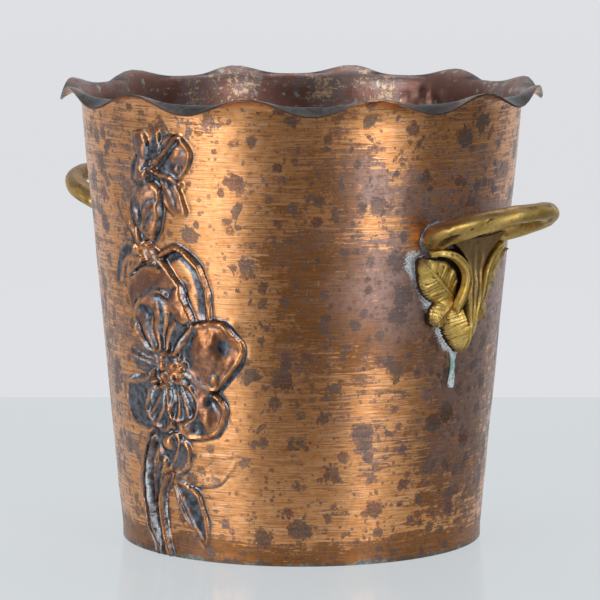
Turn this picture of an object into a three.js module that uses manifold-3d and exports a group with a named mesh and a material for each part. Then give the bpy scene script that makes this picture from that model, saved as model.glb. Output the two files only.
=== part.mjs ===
// Champagne cooler: a tapered bucket of thin sheet copper with a scalloped, flared rim. A flower
// spray is raised from the sheet on the front and again on the back. Two cast brass ring handles
// stand on leafy cast brass brackets, soft-soldered to the wall.
// Millimetres, +Z up, origin at the centre of the base. Handles along X, flower sprays along Y.
import * as THREE from 'three';
import { mergeVertices } from 'three/addons/utils/BufferGeometryUtils.js';
import Module from 'manifold-3d';

const wasm = await Module();
wasm.setup();

// Bucket wall, a straight cone up to the neck
const BASE_RADIUS = 86.5;
const NECK_RADIUS = 105.2;
const NECK_HEIGHT = 203;
const SHEET = 1;

// Flared rim: peaks curve up and out, troughs roll over and hang down
const SCALLOPS = 12;
const FLARE_REACH = 10.1;
const FLARE_LEAN_AT_NECK = 0.1;
const PEAK_RISE = 16;
const TROUGH_CREST_RISE = 12;
const TROUGH_EDGE_RISE = 8.3;
const TROUGH_CREST_AT = 0.55;

// Bottom plate, a disc with its edge turned up inside the wall
const BOTTOM_SHEET = 1.2;
const FLANGE_HEIGHT = 7;
const SOLDER_BEAD = 3;
const BEAD_CROWN = { height: 0.35, width: 0.5 };

// Ring handle, an open ring that tips up away from the wall
const RING_BELOW_NECK = 44;
const RING_STANDOFF = 18.2;
const RING_RADIUS = 27;
const RING_TILT = THREE.MathUtils.degToRad(18);
const RING_TIP_HEIGHT = 8.4;
const RING_END_HEIGHT = 13.5;
const RING_TIP_THICKNESS = 9.2;
const RING_END_THICKNESS = 12.4;
const RING_SWELL = 1.3;

// Handle bracket: three pairs of leaf lobes on the wall, and a stalk that opens to carry the ring
const LEAF_TIP_DROP = 60.7;
const LOBE_EDGE = 2.8;
const STALK_WIDTH = 5.4;
const STALK_FOOT_DROP = 47;
const STALK_FOOT_DEPTH = 9.5;
const STALK_FOOT_STANDOFF = 2;
const STALK_WEB_THICKNESS = 3.4;
const STALK_WEB_SAG = 3.5;
const STALK_OPENING = 4.5;
const STALK_LEAN = 0.6;
const CARRY_ANGLE = THREE.MathUtils.degToRad(110);

// Solder under the leaves and round the ring ends
const SOLDER_FILM = 0.7;
const SOLDER_MARGIN = 2.6;
const SOLDER_PAD_WIDTH = 23;
const SOLDER_PAD_RISE = 2.6;
const SOLDER_PAD_BLUNTNESS = 0.06;
const DRIP_LENGTH = 17;
const DRIP_WIDTH = 3.6;

// Half widths of the solder: down the drip as shares of its width and length, and beside the leaves
// as shares of the lobe's reach (without the margin) and of the drop to the leaf tip
const DRIP_OUTLINE = [[0.35, 1], [0.5, 0.85], [0.35, 0.3]];
const BESIDE_LOWER_LOBE = [0.72, 0.75];
const BESIDE_UPPER_LOBE = [[0.66, 0.55], [0.9, 0.36]];

// Flower spray, drawn in units as [across the panel, up from the base]; 203 units reach the neck.
// Petals and leaves run from their root to their tip; cup is how far their middle is hollowed.
const UNITS_TO_NECK = 203;
const OPEN_FLOWER = [
  { from: [3, 97], to: [1, 128], width: 36, rise: 5, cup: 0.5 },
  { from: [10, 96], to: [43, 100], width: 34, rise: 5, cup: 0.4 },
  { from: [8, 87], to: [34, 69], width: 22, rise: 4, cup: 0.4 },
  { from: [6, 85], to: [15, 60], width: 18, rise: 4.5, cup: 0.5 },
  { from: [1, 84], to: [-6, 60], width: 17, rise: 5, cup: 0.5 },
  { from: [-3, 87], to: [-29, 71], width: 24, rise: 4, cup: 0.4 },
  { from: [-2, 92], to: [-23, 96], width: 7, rise: 2 },
  { from: [-4, 92], to: [10, 92], width: 13, rise: 6 },
];
const LOWER_LEAVES = [
  { from: [1, 62], to: [-2, 42], width: 14, rise: 3 },
  { from: [10, 57], to: [2, 41], width: 9, rise: 2 },
  { from: [3, 40], to: [36, 49], width: 13, rise: 1.2 },
  { from: [1, 37], to: [19, 7], width: 15, rise: 3, bend: 5 },
];
const UPPER_LEAVES = [
  { from: [-12, 146], to: [-32, 129], width: 8, rise: 2, bend: 5 },
  { from: [-8, 141], to: [-21, 129], width: 6, rise: 2, bend: 2 },
  { from: [-12, 151], to: [-29, 172], width: 7, rise: 1.4 },
];
const BUD = [
  { from: [-5, 151], to: [-1, 181], width: 20, rise: 6 },
  { from: [-8, 152], to: [-13, 185], width: 7, rise: 3, bend: 3 },
  { from: [-4, 178], to: [-7, 192], width: 10, rise: 3 },
];
const TOP_FLOWER = [
  { from: [3, 188], to: [6, 203], width: 9, rise: 3 },
  { from: [4, 188], to: [17, 200], width: 8, rise: 3 },
  { from: [5, 187], to: [28, 190], width: 19, rise: 2.6, cup: 0.3 },
  { from: [6, 183], to: [17, 163], width: 13, rise: 2.6, cup: 0.3 },
  { from: [1, 188], to: [-4, 199], width: 8, rise: 2.4 },
  { from: [-2, 186], to: [8, 183], width: 8, rise: 4 },
];
const STEMS = [
  { through: [[-19, 129], [-10, 136.5], [0, 138.5], [9, 135], [15, 127]], width: 7, rise: 2.4 },
  { through: [[-6, 149], [2, 145], [8, 139], [13, 131], [17, 121]], width: 3.8, rise: 2.6 },
  { through: [[3, 144], [9, 147.6], [16, 147.6], [23, 142], [27, 132], [28, 118]], width: 4.6, rise: 2.6 },
  { through: [[-11, 58], [-17, 48], [-19.6, 36], [-19.4, 24], [-16, 12], [-11, 3]], width: 2.8, rise: 2 },
  { through: [[-8, 57], [-13, 46], [-15.4, 34], [-15.2, 22], [-12, 11], [-7.5, 3]], width: 3, rise: 2.4 },
  { through: [[-2, 44], [-6, 36], [-8.6, 26], [-8.4, 14], [-4.5, 3]], width: 3.4, rise: 2.4 },
];

// Form of the relief: how deep its back and its edge lie in the sheet, and how blunt its ends are
const RELIEF_BACK = 0.6;
const RELIEF_EDGE = 0.2;
const RELIEF_BLUNTNESS = 0.12;

// Outline of petals and lobes: narrowest share, where the widest part lies, and roundness
const PETAL_FORM = { least: 0.2, skew: 1.3, roundness: 0.75 };
const LOBE_FORM = { least: 0.1, roundness: 0.7 };

// Form of the keel along a lobe's midrib
const KEEL_SHARPNESS = 0.8;
const KEEL_BLUNTNESS = 0.12;

// Leaf lobes of the bracket, drawn in units as [across, up from the ring's centre]; 60.7 units reach
// the leaf's tip, and the side and upper lobes are repeated in mirror image
const UNITS_TO_LEAF_TIP = 60.7;
const LOWER_LOBE = { from: [0, -24], to: [0, -UNITS_TO_LEAF_TIP], width: 28, rise: 7.5, skew: 0.85 };
const SIDE_LOBE = { from: [-4, -34], to: [-17, -41], width: 15, rise: 1.6, skew: 1 };
const UPPER_LOBE = { from: [-3, -30], to: [-27, -12.5], width: 19, rise: 2.8, skew: 0.9 };

// Clearance between neighbouring pieces
const GAP = 0.3;

// Precision of merged corners and of the search for the ring's ends
const MERGE_DISTANCE = 1e-5;
const HALVINGS = 40;

// Counts of facets along and across; petals as wide as WIDE_PETAL units get the finer ones
const COLUMNS_PER_SCALLOP = 6;
const FLARE_ROWS = 6;
const RING_STEPS = 26;
const RING_SIDES = 10;
const WIDE_PETAL = 12;
const WIDE_PETAL_ROWS = 5;
const WIDE_PETAL_COLUMNS = 4;
const NARROW_PETAL_ROWS = 3;
const NARROW_PETAL_COLUMNS = 2;
const STEM_ROWS = 7;
const STEM_COLUMNS = 2;
const LOBE_ROWS = 6;
const LOBE_COLUMNS = 4;
const STALK_ROWS = 8;
const STALK_COLUMNS = 4;
const BED_ROWS = 11;
const BED_COLUMNS = 6;
const PAD_ROWS = 6;
const PAD_COLUMNS = 4;

const columns = SCALLOPS * COLUMNS_PER_SCALLOP;
const ringHeight = NECK_HEIGHT - RING_BELOW_NECK;
const sprayUnit = NECK_HEIGHT / UNITS_TO_NECK;
const bracketUnit = LEAF_TIP_DROP / UNITS_TO_LEAF_TIP;

// Outside radius of the straight wall at height z
function wallRadius(z) {
  return BASE_RADIUS + (NECK_RADIUS - BASE_RADIUS) * (z / NECK_HEIGHT);
}

// A point given by arc length from a centre line on the wall, height, and distance off the wall
function wallPoint(axis, arc, z, standoff) {
  const radius = wallRadius(z);
  const angle = axis + arc / radius;
  const reach = radius + standoff;
  return new THREE.Vector3(reach * Math.cos(angle), reach * Math.sin(angle), z);
}

function geometryFrom(points, triangles) {
  const geometry = new THREE.BufferGeometry();
  geometry.setFromPoints(points);
  geometry.setIndex(triangles);
  return geometry;
}

// Two triangles for the four-sided face a b c d
function addQuad(triangles, a, b, c, d) {
  triangles.push(a, b, c, a, c, d);
}

// Share of full height along t: an arch whose two ends are cut off by a share
function bluntArch(t, cutOff) {
  return Math.sin(Math.PI * (cutOff + (1 - 2 * cutOff) * t));
}

// Share of full width along t from root to tip
function lobeWidth(t, { least, skew, roundness }) {
  return Math.max(least, Math.sin(Math.PI * t ** skew)) ** roundness;
}

// Closed solid between an outer and an inner sheet, each a grid of u by v cells, joined at the rim
function slab(stepsU, stepsV, outer, inner) {
  const points = [];
  const triangles = [];
  const width = stepsV + 1;
  const sheetSize = (stepsU + 1) * width;
  for (const sheet of [outer, inner]) {
    for (let i = 0; i <= stepsU; i += 1) {
      for (let j = 0; j <= stepsV; j += 1) {
        points.push(sheet(i / stepsU, (2 * j) / stepsV - 1));
      }
    }
  }
  const at = (i, j) => i * width + j;
  for (let i = 0; i < stepsU; i += 1) {
    for (let j = 0; j < stepsV; j += 1) {
      const corners = [at(i, j), at(i + 1, j), at(i + 1, j + 1), at(i, j + 1)];
      addQuad(triangles, ...corners);
      addQuad(triangles, ...corners.reverse().map((corner) => corner + sheetSize));
    }
  }
  const border = [];
  for (let i = 0; i < stepsU; i += 1) border.push(at(i, 0));
  for (let j = 0; j < stepsV; j += 1) border.push(at(stepsU, j));
  for (let i = stepsU; i > 0; i -= 1) border.push(at(i, stepsV));
  for (let j = stepsV; j > 0; j -= 1) border.push(at(0, j));
  border.forEach((start, index) => {
    const end = border[(index + 1) % border.length];
    addQuad(triangles, start, start + sheetSize, end + sheetSize, end);
  });
  return geometryFrom(points, triangles);
}

// A closed profile repeated round a closed loop of sections
function ringGrid(sections, sides, pointAt) {
  const points = [];
  const triangles = [];
  for (let i = 0; i < sections; i += 1) {
    for (let j = 0; j < sides; j += 1) {
      points.push(pointAt(i, j));
    }
  }
  for (let i = 0; i < sections; i += 1) {
    const next = (i + 1) % sections;
    for (let j = 0; j < sides; j += 1) {
      const above = (j + 1) % sides;
      addQuad(triangles, i * sides + j, next * sides + j, next * sides + above, i * sides + above);
    }
  }
  return geometryFrom(points, triangles);
}

function toSolid(geometry) {
  const bare = geometry.clone();
  bare.deleteAttribute('normal');
  bare.deleteAttribute('uv');
  const merged = mergeVertices(bare, MERGE_DISTANCE);
  const vertProperties = new Float32Array(merged.attributes.position.array);
  const triVerts = new Uint32Array(merged.index.array);
  return new wasm.Manifold(new wasm.Mesh({ numProp: 3, vertProperties, triVerts }));
}

function toGeometry(solid) {
  const mesh = solid.getMesh();
  const geometry = new THREE.BufferGeometry();
  geometry.setAttribute('position', new THREE.BufferAttribute(mesh.vertProperties, 3));
  geometry.setIndex(new THREE.BufferAttribute(mesh.triVerts, 1));
  geometry.computeVertexNormals();
  return geometry;
}

function join(geometries) {
  return geometries.map(toSolid).reduce((whole, piece) => whole.add(piece));
}

// Share of the way from trough (0) to peak (1) of the scalloped rim at an angle round the axis
function peakShare(angle) {
  return 0.5 + 0.5 * Math.cos(SCALLOPS * angle);
}

// Outer profile of the flare as [radius, height] at t from the neck (0) to the edge (1)
function flareProfile(angle, t) {
  const reach = FLARE_REACH * (FLARE_LEAN_AT_NECK * t + (1 - FLARE_LEAN_AT_NECK) * t * t);
  const peakRise = PEAK_RISE * Math.sin((t * Math.PI) / 2);
  const troughRise = t < TROUGH_CREST_AT
    ? TROUGH_CREST_RISE * (1 - ((t - TROUGH_CREST_AT) / TROUGH_CREST_AT) ** 2)
    : TROUGH_CREST_RISE - (TROUGH_CREST_RISE - TROUGH_EDGE_RISE)
      * ((t - TROUGH_CREST_AT) / (1 - TROUGH_CREST_AT)) ** 2;
  const share = peakShare(angle);
  const rise = share * peakRise + (1 - share) * troughRise;
  return new THREE.Vector2(NECK_RADIUS + reach, NECK_HEIGHT + rise);
}

// The sheet's closed cross-section at an angle: up the outside, over the edge and down the inside
function wallSection(angle) {
  const outside = [new THREE.Vector2(BASE_RADIUS, 0)];
  for (let row = 0; row <= FLARE_ROWS; row += 1) {
    outside.push(flareProfile(angle, row / FLARE_ROWS));
  }
  const inside = outside.map((point, index) => {
    const before = outside[Math.max(index - 1, 0)];
    const after = outside[Math.min(index + 1, outside.length - 1)];
    const along = after.clone().sub(before).normalize();
    const shifted = new THREE.Vector2(point.x - along.y * SHEET, point.y + along.x * SHEET);
    if (index === 0) shifted.y = 0;
    return shifted;
  });
  return [...outside, ...inside.reverse()];
}

function bareWall() {
  const sections = [];
  for (let column = 0; column < columns; column += 1) {
    sections.push(wallSection((column / columns) * 2 * Math.PI));
  }
  return ringGrid(columns, sections[0].length, (column, index) => {
    const angle = (column / columns) * 2 * Math.PI;
    const point = sections[column][index];
    return new THREE.Vector3(point.x * Math.cos(angle), point.x * Math.sin(angle), point.y);
  });
}

// A raised shape along a curve drawn on the wall, with its back sunk to the middle of the sheet
function raisedShape(axis, curve, width, rise, fullness, cup, [rows, columnCount]) {
  const place = (t, v, standoff) => {
    const centre = curve.getPoint(t);
    const along = curve.getTangent(t);
    const spread = v * 0.5 * width * fullness(t);
    const arc = (centre.x - along.y * spread) * sprayUnit;
    const height = (centre.y + along.x * spread) * sprayUnit;
    return wallPoint(axis, arc, height, standoff);
  };
  const sunk = -RELIEF_BACK * SHEET;
  const shallow = -RELIEF_EDGE * SHEET;
  const domed = (t, v) => {
    const arch = (1 - v ** 4) * (1 - cup * (1 - v * v) ** 2);
    return shallow + rise * sprayUnit * arch * Math.sqrt(bluntArch(t, RELIEF_BLUNTNESS));
  };
  const outer = (t, v) => place(t, v, domed(t, v));
  const inner = (t, v) => place(t, v, sunk);
  return slab(rows, columnCount, outer, inner);
}

function petalCurve({ from, to, bend = 0 }) {
  const start = new THREE.Vector2(...from);
  const end = new THREE.Vector2(...to);
  const along = end.clone().sub(start).normalize();
  const middle = start.clone().add(end).multiplyScalar(0.5);
  middle.x -= along.y * 2 * bend;
  middle.y += along.x * 2 * bend;
  return new THREE.QuadraticBezierCurve(start, middle, end);
}

function flowerSpray(axis) {
  const petalWidth = (t) => lobeWidth(t, PETAL_FORM);
  const wideCells = [WIDE_PETAL_ROWS, WIDE_PETAL_COLUMNS];
  const narrowCells = [NARROW_PETAL_ROWS, NARROW_PETAL_COLUMNS];
  const drawn = [...OPEN_FLOWER, ...LOWER_LEAVES, ...UPPER_LEAVES, ...BUD, ...TOP_FLOWER];
  const petals = drawn.map((petal) => raisedShape(
    axis, petalCurve(petal), petal.width, petal.rise, petalWidth, petal.cup ?? 0,
    petal.width >= WIDE_PETAL ? wideCells : narrowCells));
  const stems = STEMS.map((stem) => raisedShape(
    axis,
    new THREE.SplineCurve(stem.through.map((point) => new THREE.Vector2(...point))),
    stem.width, stem.rise, () => 1, 0, [STEM_ROWS, STEM_COLUMNS]));
  return [...petals, ...stems];
}

function copperWall() {
  const sprays = [-Math.PI / 2, Math.PI / 2].flatMap(flowerSpray);
  return join([bareWall(), ...sprays]);
}

// Turned solid from [radius, height] points
function turned(profile) {
  const points = profile.map(([radius, height]) => new THREE.Vector2(radius, height));
  const geometry = new THREE.LatheGeometry(points, columns);
  geometry.rotateX(Math.PI / 2);
  return geometry;
}

// Radius of the inside of the wall at height z, less the clearance
function insideRadius(z) {
  return wallRadius(z) - SHEET - GAP;
}

function bottomPlate() {
  return turned([
    [0, 0],
    [insideRadius(0), 0],
    [insideRadius(FLANGE_HEIGHT), FLANGE_HEIGHT],
    [insideRadius(FLANGE_HEIGHT) - BOTTOM_SHEET, FLANGE_HEIGHT],
    [insideRadius(BOTTOM_SHEET) - BOTTOM_SHEET, BOTTOM_SHEET],
    [0, BOTTOM_SHEET],
  ]);
}

// Bead of solder that closes the seam between the wall and the top of the flange
function bottomSolder() {
  const low = FLANGE_HEIGHT + GAP;
  const high = low + SOLDER_BEAD;
  const crown = low + BEAD_CROWN.height * SOLDER_BEAD;
  return turned([
    [insideRadius(low), low],
    [insideRadius(high), high],
    [insideRadius(crown) - BEAD_CROWN.width * SOLDER_BEAD, crown],
    [insideRadius(low) - SOLDER_BEAD, low],
    [insideRadius(low), low],
  ]);
}

// Solid cone that fills the bucket out to a standoff from its outside, for trimming ends
function trimmingCone(standoff) {
  return toSolid(turned([
    [0, 0],
    [wallRadius(0) + standoff, 0],
    [wallRadius(NECK_HEIGHT) + standoff, NECK_HEIGHT],
    [0, NECK_HEIGHT],
  ]));
}

// The ring's centre line: turn 0 is its tip, and both ends run into the wall
const ringCentre = new THREE.Vector3(wallRadius(ringHeight) + RING_STANDOFF, 0, ringHeight);
const ringOutward = new THREE.Vector3(Math.cos(RING_TILT), 0, Math.sin(RING_TILT));
const ringAcross = new THREE.Vector3(0, 1, 0);
const ringNormal = ringOutward.clone().cross(ringAcross);

function ringPoint(turn, radius, lift) {
  return ringCentre.clone()
    .addScaledVector(ringOutward, radius * Math.cos(turn))
    .addScaledVector(ringAcross, radius * Math.sin(turn))
    .addScaledVector(ringNormal, lift);
}

// The turn at which the centre line meets the wall, found by halving
function ringEndTurn() {
  let clear = Math.PI / 2;
  let inside = Math.PI;
  for (let round = 0; round < HALVINGS; round += 1) {
    const middle = 0.5 * (clear + inside);
    const point = ringPoint(middle, RING_RADIUS, 0);
    if (Math.hypot(point.x, point.y) > wallRadius(point.z)) clear = middle;
    else inside = middle;
  }
  return clear;
}

// The ring grown by an allowance on every side, and cut off at a standoff from the wall
function ringSolid(allowance, standoff) {
  const halfTurn = 0.5 * (ringEndTurn() + Math.PI);
  const steps = RING_STEPS;
  const sides = RING_SIDES;
  const points = [];
  const triangles = [];
  for (let step = 0; step <= steps; step += 1) {
    const turn = halfTurn * ((2 * step) / steps - 1);
    const endShare = Math.abs(turn / halfTurn) ** RING_SWELL;
    const height = RING_TIP_HEIGHT + (RING_END_HEIGHT - RING_TIP_HEIGHT) * endShare;
    const thickness = RING_TIP_THICKNESS + (RING_END_THICKNESS - RING_TIP_THICKNESS) * endShare;
    for (let side = 0; side < sides; side += 1) {
      const angle = (side / sides) * 2 * Math.PI;
      const spread = (thickness / 2 + allowance) * Math.cos(angle);
      const lift = (height / 2 + allowance) * Math.sin(angle);
      points.push(ringPoint(turn, RING_RADIUS + spread, lift));
    }
  }
  for (let step = 0; step < steps; step += 1) {
    for (let side = 0; side < sides; side += 1) {
      const next = (side + 1) % sides;
      const low = step * sides;
      const high = low + sides;
      addQuad(triangles, low + side, high + side, high + next, low + next);
    }
  }
  for (let side = 1; side < sides - 1; side += 1) {
    const last = steps * sides;
    triangles.push(0, side, side + 1);
    triangles.push(last, last + side + 1, last + side);
  }
  return toSolid(geometryFrom(points, triangles)).subtract(trimmingCone(standoff));
}

function mirrored({ from, to, ...rest }) {
  return { from: [-from[0], from[1]], to: [-to[0], to[1]], ...rest };
}

const pairedLobes = [SIDE_LOBE, UPPER_LOBE];
const lobes = [LOWER_LOBE, ...pairedLobes, ...pairedLobes.map(mirrored)];

// One lobe lying on the solder: keeled along its midrib, thin at its edge
function lobeSolid(lobe) {
  const curve = petalCurve(lobe);
  const sole = GAP + SOLDER_FILM + GAP;
  const place = (t, v, standoff) => {
    const along = curve.getTangent(t);
    const centre = curve.getPoint(t);
    const spread = v * 0.5 * lobe.width * lobeWidth(t, { ...LOBE_FORM, skew: lobe.skew });
    const arc = (centre.x - along.y * spread) * bracketUnit;
    const height = ringHeight + (centre.y + along.x * spread) * bracketUnit;
    return wallPoint(0, arc, height, standoff);
  };
  const keel = (t, v) => (1 - Math.abs(v)) ** KEEL_SHARPNESS * bluntArch(t, KEEL_BLUNTNESS);
  const outer = (t, v) => place(t, v, sole + LOBE_EDGE + lobe.rise * bracketUnit * keel(t, v));
  const inner = (t, v) => place(t, v, sole);
  return slab(LOBE_ROWS, LOBE_COLUMNS, outer, inner);
}

// The stalk: a narrow fin that rises from the lower leaf and opens into a web that carries the ring
function stalk() {
  const footHeight = ringHeight - STALK_FOOT_DROP;
  const footBack = wallRadius(footHeight) + STALK_FOOT_STANDOFF;
  const carry = ringPoint(CARRY_ANGLE, RING_RADIUS, 0);
  const carryBack = carry.x - STALK_WEB_THICKNESS / 2;
  const place = (t, v, footRadius, carryRadius) => {
    const halfWidth = STALK_WIDTH / 2 + (carry.y - STALK_WIDTH / 2) * t ** STALK_OPENING;
    const radius = footRadius + (carryRadius - footRadius) * t ** STALK_LEAN;
    const sag = STALK_WEB_SAG * t * (1 - v * v);
    return new THREE.Vector3(radius, -v * halfWidth, footHeight + (carry.z - footHeight) * t - sag);
  };
  const front = (t, v) => place(t, v, footBack + STALK_FOOT_DEPTH, carryBack + STALK_WEB_THICKNESS);
  const back = (t, v) => place(t, v, footBack, carryBack);
  return slab(STALK_ROWS, STALK_COLUMNS, front, back);
}

// Film of solder under the leaves, with a run below the leaf tip, as half widths down its height
function solderBed() {
  const tip = -LEAF_TIP_DROP;
  const lowerReach = 0.5 * LOWER_LOBE.width * bracketUnit;
  const upperReach = -UPPER_LOBE.to[0] * bracketUnit;
  const upperHeight = UPPER_LOBE.to[1] * bracketUnit;
  const drip = DRIP_OUTLINE.map(([width, drop]) => [width * DRIP_WIDTH, tip - drop * DRIP_LENGTH]);
  const beside = ([reach, drop], lobeReach) => [reach * lobeReach + SOLDER_MARGIN, drop * tip];
  const outline = new THREE.SplineCurve([
    ...drip,
    [SOLDER_MARGIN, tip],
    beside(BESIDE_LOWER_LOBE, lowerReach),
    ...BESIDE_UPPER_LOBE.map((point) => beside(point, upperReach)),
    [upperReach + SOLDER_MARGIN, upperHeight + SOLDER_MARGIN],
  ].map((point) => new THREE.Vector2(...point)));
  const place = (t, v, standoff) => {
    const edge = outline.getPoint(t);
    return wallPoint(0, -v * edge.x, ringHeight + edge.y, standoff);
  };
  const top = (t, v) => place(t, v, GAP + SOLDER_FILM);
  const sole = (t, v) => place(t, v, GAP);
  return toSolid(slab(BED_ROWS, BED_COLUMNS, top, sole));
}

// Solder round one ring end, a low mound on the wall, grown by an allowance on every side
function solderPad(side, allowance) {
  const seat = ringPoint(side * ringEndTurn(), RING_RADIUS, 0);
  const arc = wallRadius(seat.z) * Math.atan2(seat.y, seat.x);
  const half = SOLDER_PAD_WIDTH / 2 + allowance;
  const place = (t, v, standoff) => {
    const turn = Math.PI * (0.5 - SOLDER_PAD_BLUNTNESS) * (1 - 2 * t);
    return wallPoint(0, arc + half * v * Math.cos(turn), seat.z + half * Math.sin(turn), standoff);
  };
  const mound = (t, v) => bluntArch(t, SOLDER_PAD_BLUNTNESS) * (1 - v * v);
  const top = GAP + SOLDER_FILM + allowance;
  const outer = (t, v) => place(t, v, top + SOLDER_PAD_RISE * mound(t, v));
  const inner = (t, v) => place(t, v, GAP - allowance);
  return toSolid(slab(PAD_ROWS, PAD_COLUMNS, outer, inner));
}

// The pieces of one handle, built for the +X side, where the front is at -Y
function handlePieces() {
  const grownRing = ringSolid(GAP, -GAP);
  const seats = { front: -1, back: 1 };
  const trim = (solid) => Object.values(seats).reduce(
    (rest, side) => rest.subtract(solderPad(side, GAP)), solid);
  return {
    ring: ringSolid(0, GAP),
    bracket: trim(join([...lobes.map(lobeSolid), stalk()]).subtract(grownRing)),
    bracket_solder: trim(solderBed()),
    ring_solder_front: solderPad(seats.front, 0).subtract(grownRing),
    ring_solder_back: solderPad(seats.back, 0).subtract(grownRing),
  };
}

// Finishes
const copper = { color: 0xb06a3c, roughness: 0.38, metalness: 1 };
const brass = { color: 0xa98a3a, roughness: 0.42, metalness: 1 };
const solder = { color: 0x9fb0ad, roughness: 0.75, metalness: 0.4 };

function mesh(name, geometry, finish) {
  const made = new THREE.Mesh(geometry, new THREE.MeshStandardMaterial(finish));
  made.name = name;
  return made;
}

// The second handle is the first one turned half round, so its front and back change places
function handle(side, turned) {
  const names = turned
    ? { ring_solder_front: 'ring_solder_back', ring_solder_back: 'ring_solder_front' }
    : {};
  const group = new THREE.Group();
  for (const [piece, solid] of Object.entries(handlePieces())) {
    const finish = piece.includes('solder') ? solder : brass;
    group.add(mesh(`${side}_${names[piece] ?? piece}`, toGeometry(solid), finish));
  }
  if (turned) group.rotation.z = Math.PI;
  return group;
}

const cooler = new THREE.Group();
cooler.add(mesh('copper_wall', toGeometry(copperWall()), copper));
cooler.add(mesh('bottom_plate', bottomPlate(), copper));
cooler.add(mesh('bottom_solder', bottomSolder(), solder));
cooler.add(handle('right', false));
cooler.add(handle('left', true));

export default cooler;
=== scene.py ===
# %% [markdown]
# # A copper champagne cooler with raised flowers and cast brass ring handles
# The bucket is thin sheet copper, its flowers pushed out from behind and chased from the front. The
# handles are brass castings, soft-soldered to the wall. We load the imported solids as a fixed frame
# and dress each of them, in that frame, with a surface worked out by formula in millimetres.

# %% Load the frame
from types import SimpleNamespace

import bmesh
import bpy
import numpy as np
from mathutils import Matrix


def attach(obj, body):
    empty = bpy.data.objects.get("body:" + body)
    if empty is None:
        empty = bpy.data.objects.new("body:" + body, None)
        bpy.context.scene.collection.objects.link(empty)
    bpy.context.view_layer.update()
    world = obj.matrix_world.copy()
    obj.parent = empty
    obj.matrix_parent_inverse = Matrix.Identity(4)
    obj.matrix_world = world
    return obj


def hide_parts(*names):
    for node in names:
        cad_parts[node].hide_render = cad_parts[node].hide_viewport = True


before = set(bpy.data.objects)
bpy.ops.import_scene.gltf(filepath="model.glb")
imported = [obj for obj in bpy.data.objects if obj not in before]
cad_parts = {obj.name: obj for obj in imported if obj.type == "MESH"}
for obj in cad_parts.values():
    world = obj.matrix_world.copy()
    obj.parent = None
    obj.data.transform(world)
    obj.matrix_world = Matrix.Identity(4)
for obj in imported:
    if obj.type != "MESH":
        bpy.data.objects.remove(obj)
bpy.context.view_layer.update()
scene = bpy.context.scene
MM = 0.001
print("solids in the frame:", len(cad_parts))

# %% [markdown]
# ## The real sizes
# The wall is a straight cone from the base to the neck, where a scalloped rim flares out. These are
# the same sizes as in the solids, so every surface lands where its solid is.

# %% Sizes in millimetres
BASE_RADIUS = 86.5
NECK_RADIUS = 105.2
NECK_HEIGHT = 203.0
SHEET = 1.0
SCALLOPS = 12
FLARE_REACH = 10.1
PEAK_RISE = 16.0
TROUGH_CREST_RISE = 12.0
TROUGH_EDGE_RISE = 8.3
TROUGH_CREST_AT = 0.55
RING_HEIGHT = 159.0
RING_STANDOFF = 18.2
RING_RADIUS = 27.0
RING_TILT = np.radians(18)
LEAF_TIP_DROP = 60.7
LEAF_TIP = RING_HEIGHT - LEAF_TIP_DROP
GAP = 0.3


def wall_radius(z):
    """Outside radius at height z: the base radius plus the cone's slope times the height."""
    return BASE_RADIUS + (NECK_RADIUS - BASE_RADIUS) * z / NECK_HEIGHT


def on_wall(arc, z, standoff, axis=0.0):
    """Points at an arc length from the line at azimuth axis, at height z and a standoff from the wall.
    The angle is the arc length over the wall's radius; x and y follow from angle and reach."""
    arc, z, standoff = np.broadcast_arrays(arc, z, standoff)
    angle = axis + arc / wall_radius(z)
    reach = wall_radius(z) + standoff
    return np.stack([reach * np.cos(angle), reach * np.sin(angle), z], axis=-1)


def smooth(x, low, high):
    """0 below low and 1 above high, with the S-curve 3x^2 - 2x^3 between them."""
    t = np.clip((x - low) / (high - low), 0, 1)
    return t * t * (3 - 2 * t)


def bell(x, width):
    """The bell curve exp(-(x / width)^2): 1 at 0, and 0.37 one width away."""
    return np.exp(-((x / width) ** 2))


def lumps(points, size, seed):
    """Value noise from -1 to 1: seeded random numbers at the corners of cubes of this size,
    blended by the S-curve along each of the three axes."""
    cell = np.asarray(points) / size
    base = np.floor(cell).astype(np.int64)
    part = cell - base
    part = part * part * (3 - 2 * part)
    table = np.random.default_rng(seed).random(4096)
    total = 0
    for corner in np.ndindex(2, 2, 2):
        at = base + np.array(corner)
        key = (at[..., 0] * 73856093) ^ (at[..., 1] * 19349663) ^ (at[..., 2] * 83492791)
        share = np.prod(np.where(np.array(corner) == 1, part, 1 - part), axis=-1)
        total = total + share * table[key & 4095]
    return 2 * total - 1


def lumps_at(x, y, z, size, seed):
    """The same noise at places given as three arrays or numbers, which are stretched to one shape."""
    return lumps(np.stack(np.broadcast_arrays(x, y, z), axis=-1), size, seed)


print("wall radius at the ring handles:", round(wall_radius(RING_HEIGHT), 2), "mm")

# %% [markdown]
# ## Putting a surface into a mesh
# Every piece here is a grid of points worked out as whole arrays. Two grids, an outer and an inner
# one, joined along their borders, make a closed sheet; a grid that wraps round both ways is already
# closed. Doing this by index arithmetic keeps the faces pointing outwards everywhere.

# %% Grids, sheets and pieces
def grid_faces(rows, columns, wrap_rows=False, wrap_columns=False):
    """Four corners for each cell of a grid, numbered row by row; wrapping joins the last to the first."""
    number = np.arange(rows * columns).reshape(rows, columns)
    if wrap_rows:
        number = np.concatenate([number, number[:1]])
    if wrap_columns:
        number = np.concatenate([number, number[:, :1]], axis=1)
    cells = [number[:-1, :-1], number[1:, :-1], number[1:, 1:], number[:-1, 1:]]
    return np.stack(cells, axis=-1).reshape(-1, 4)


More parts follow.
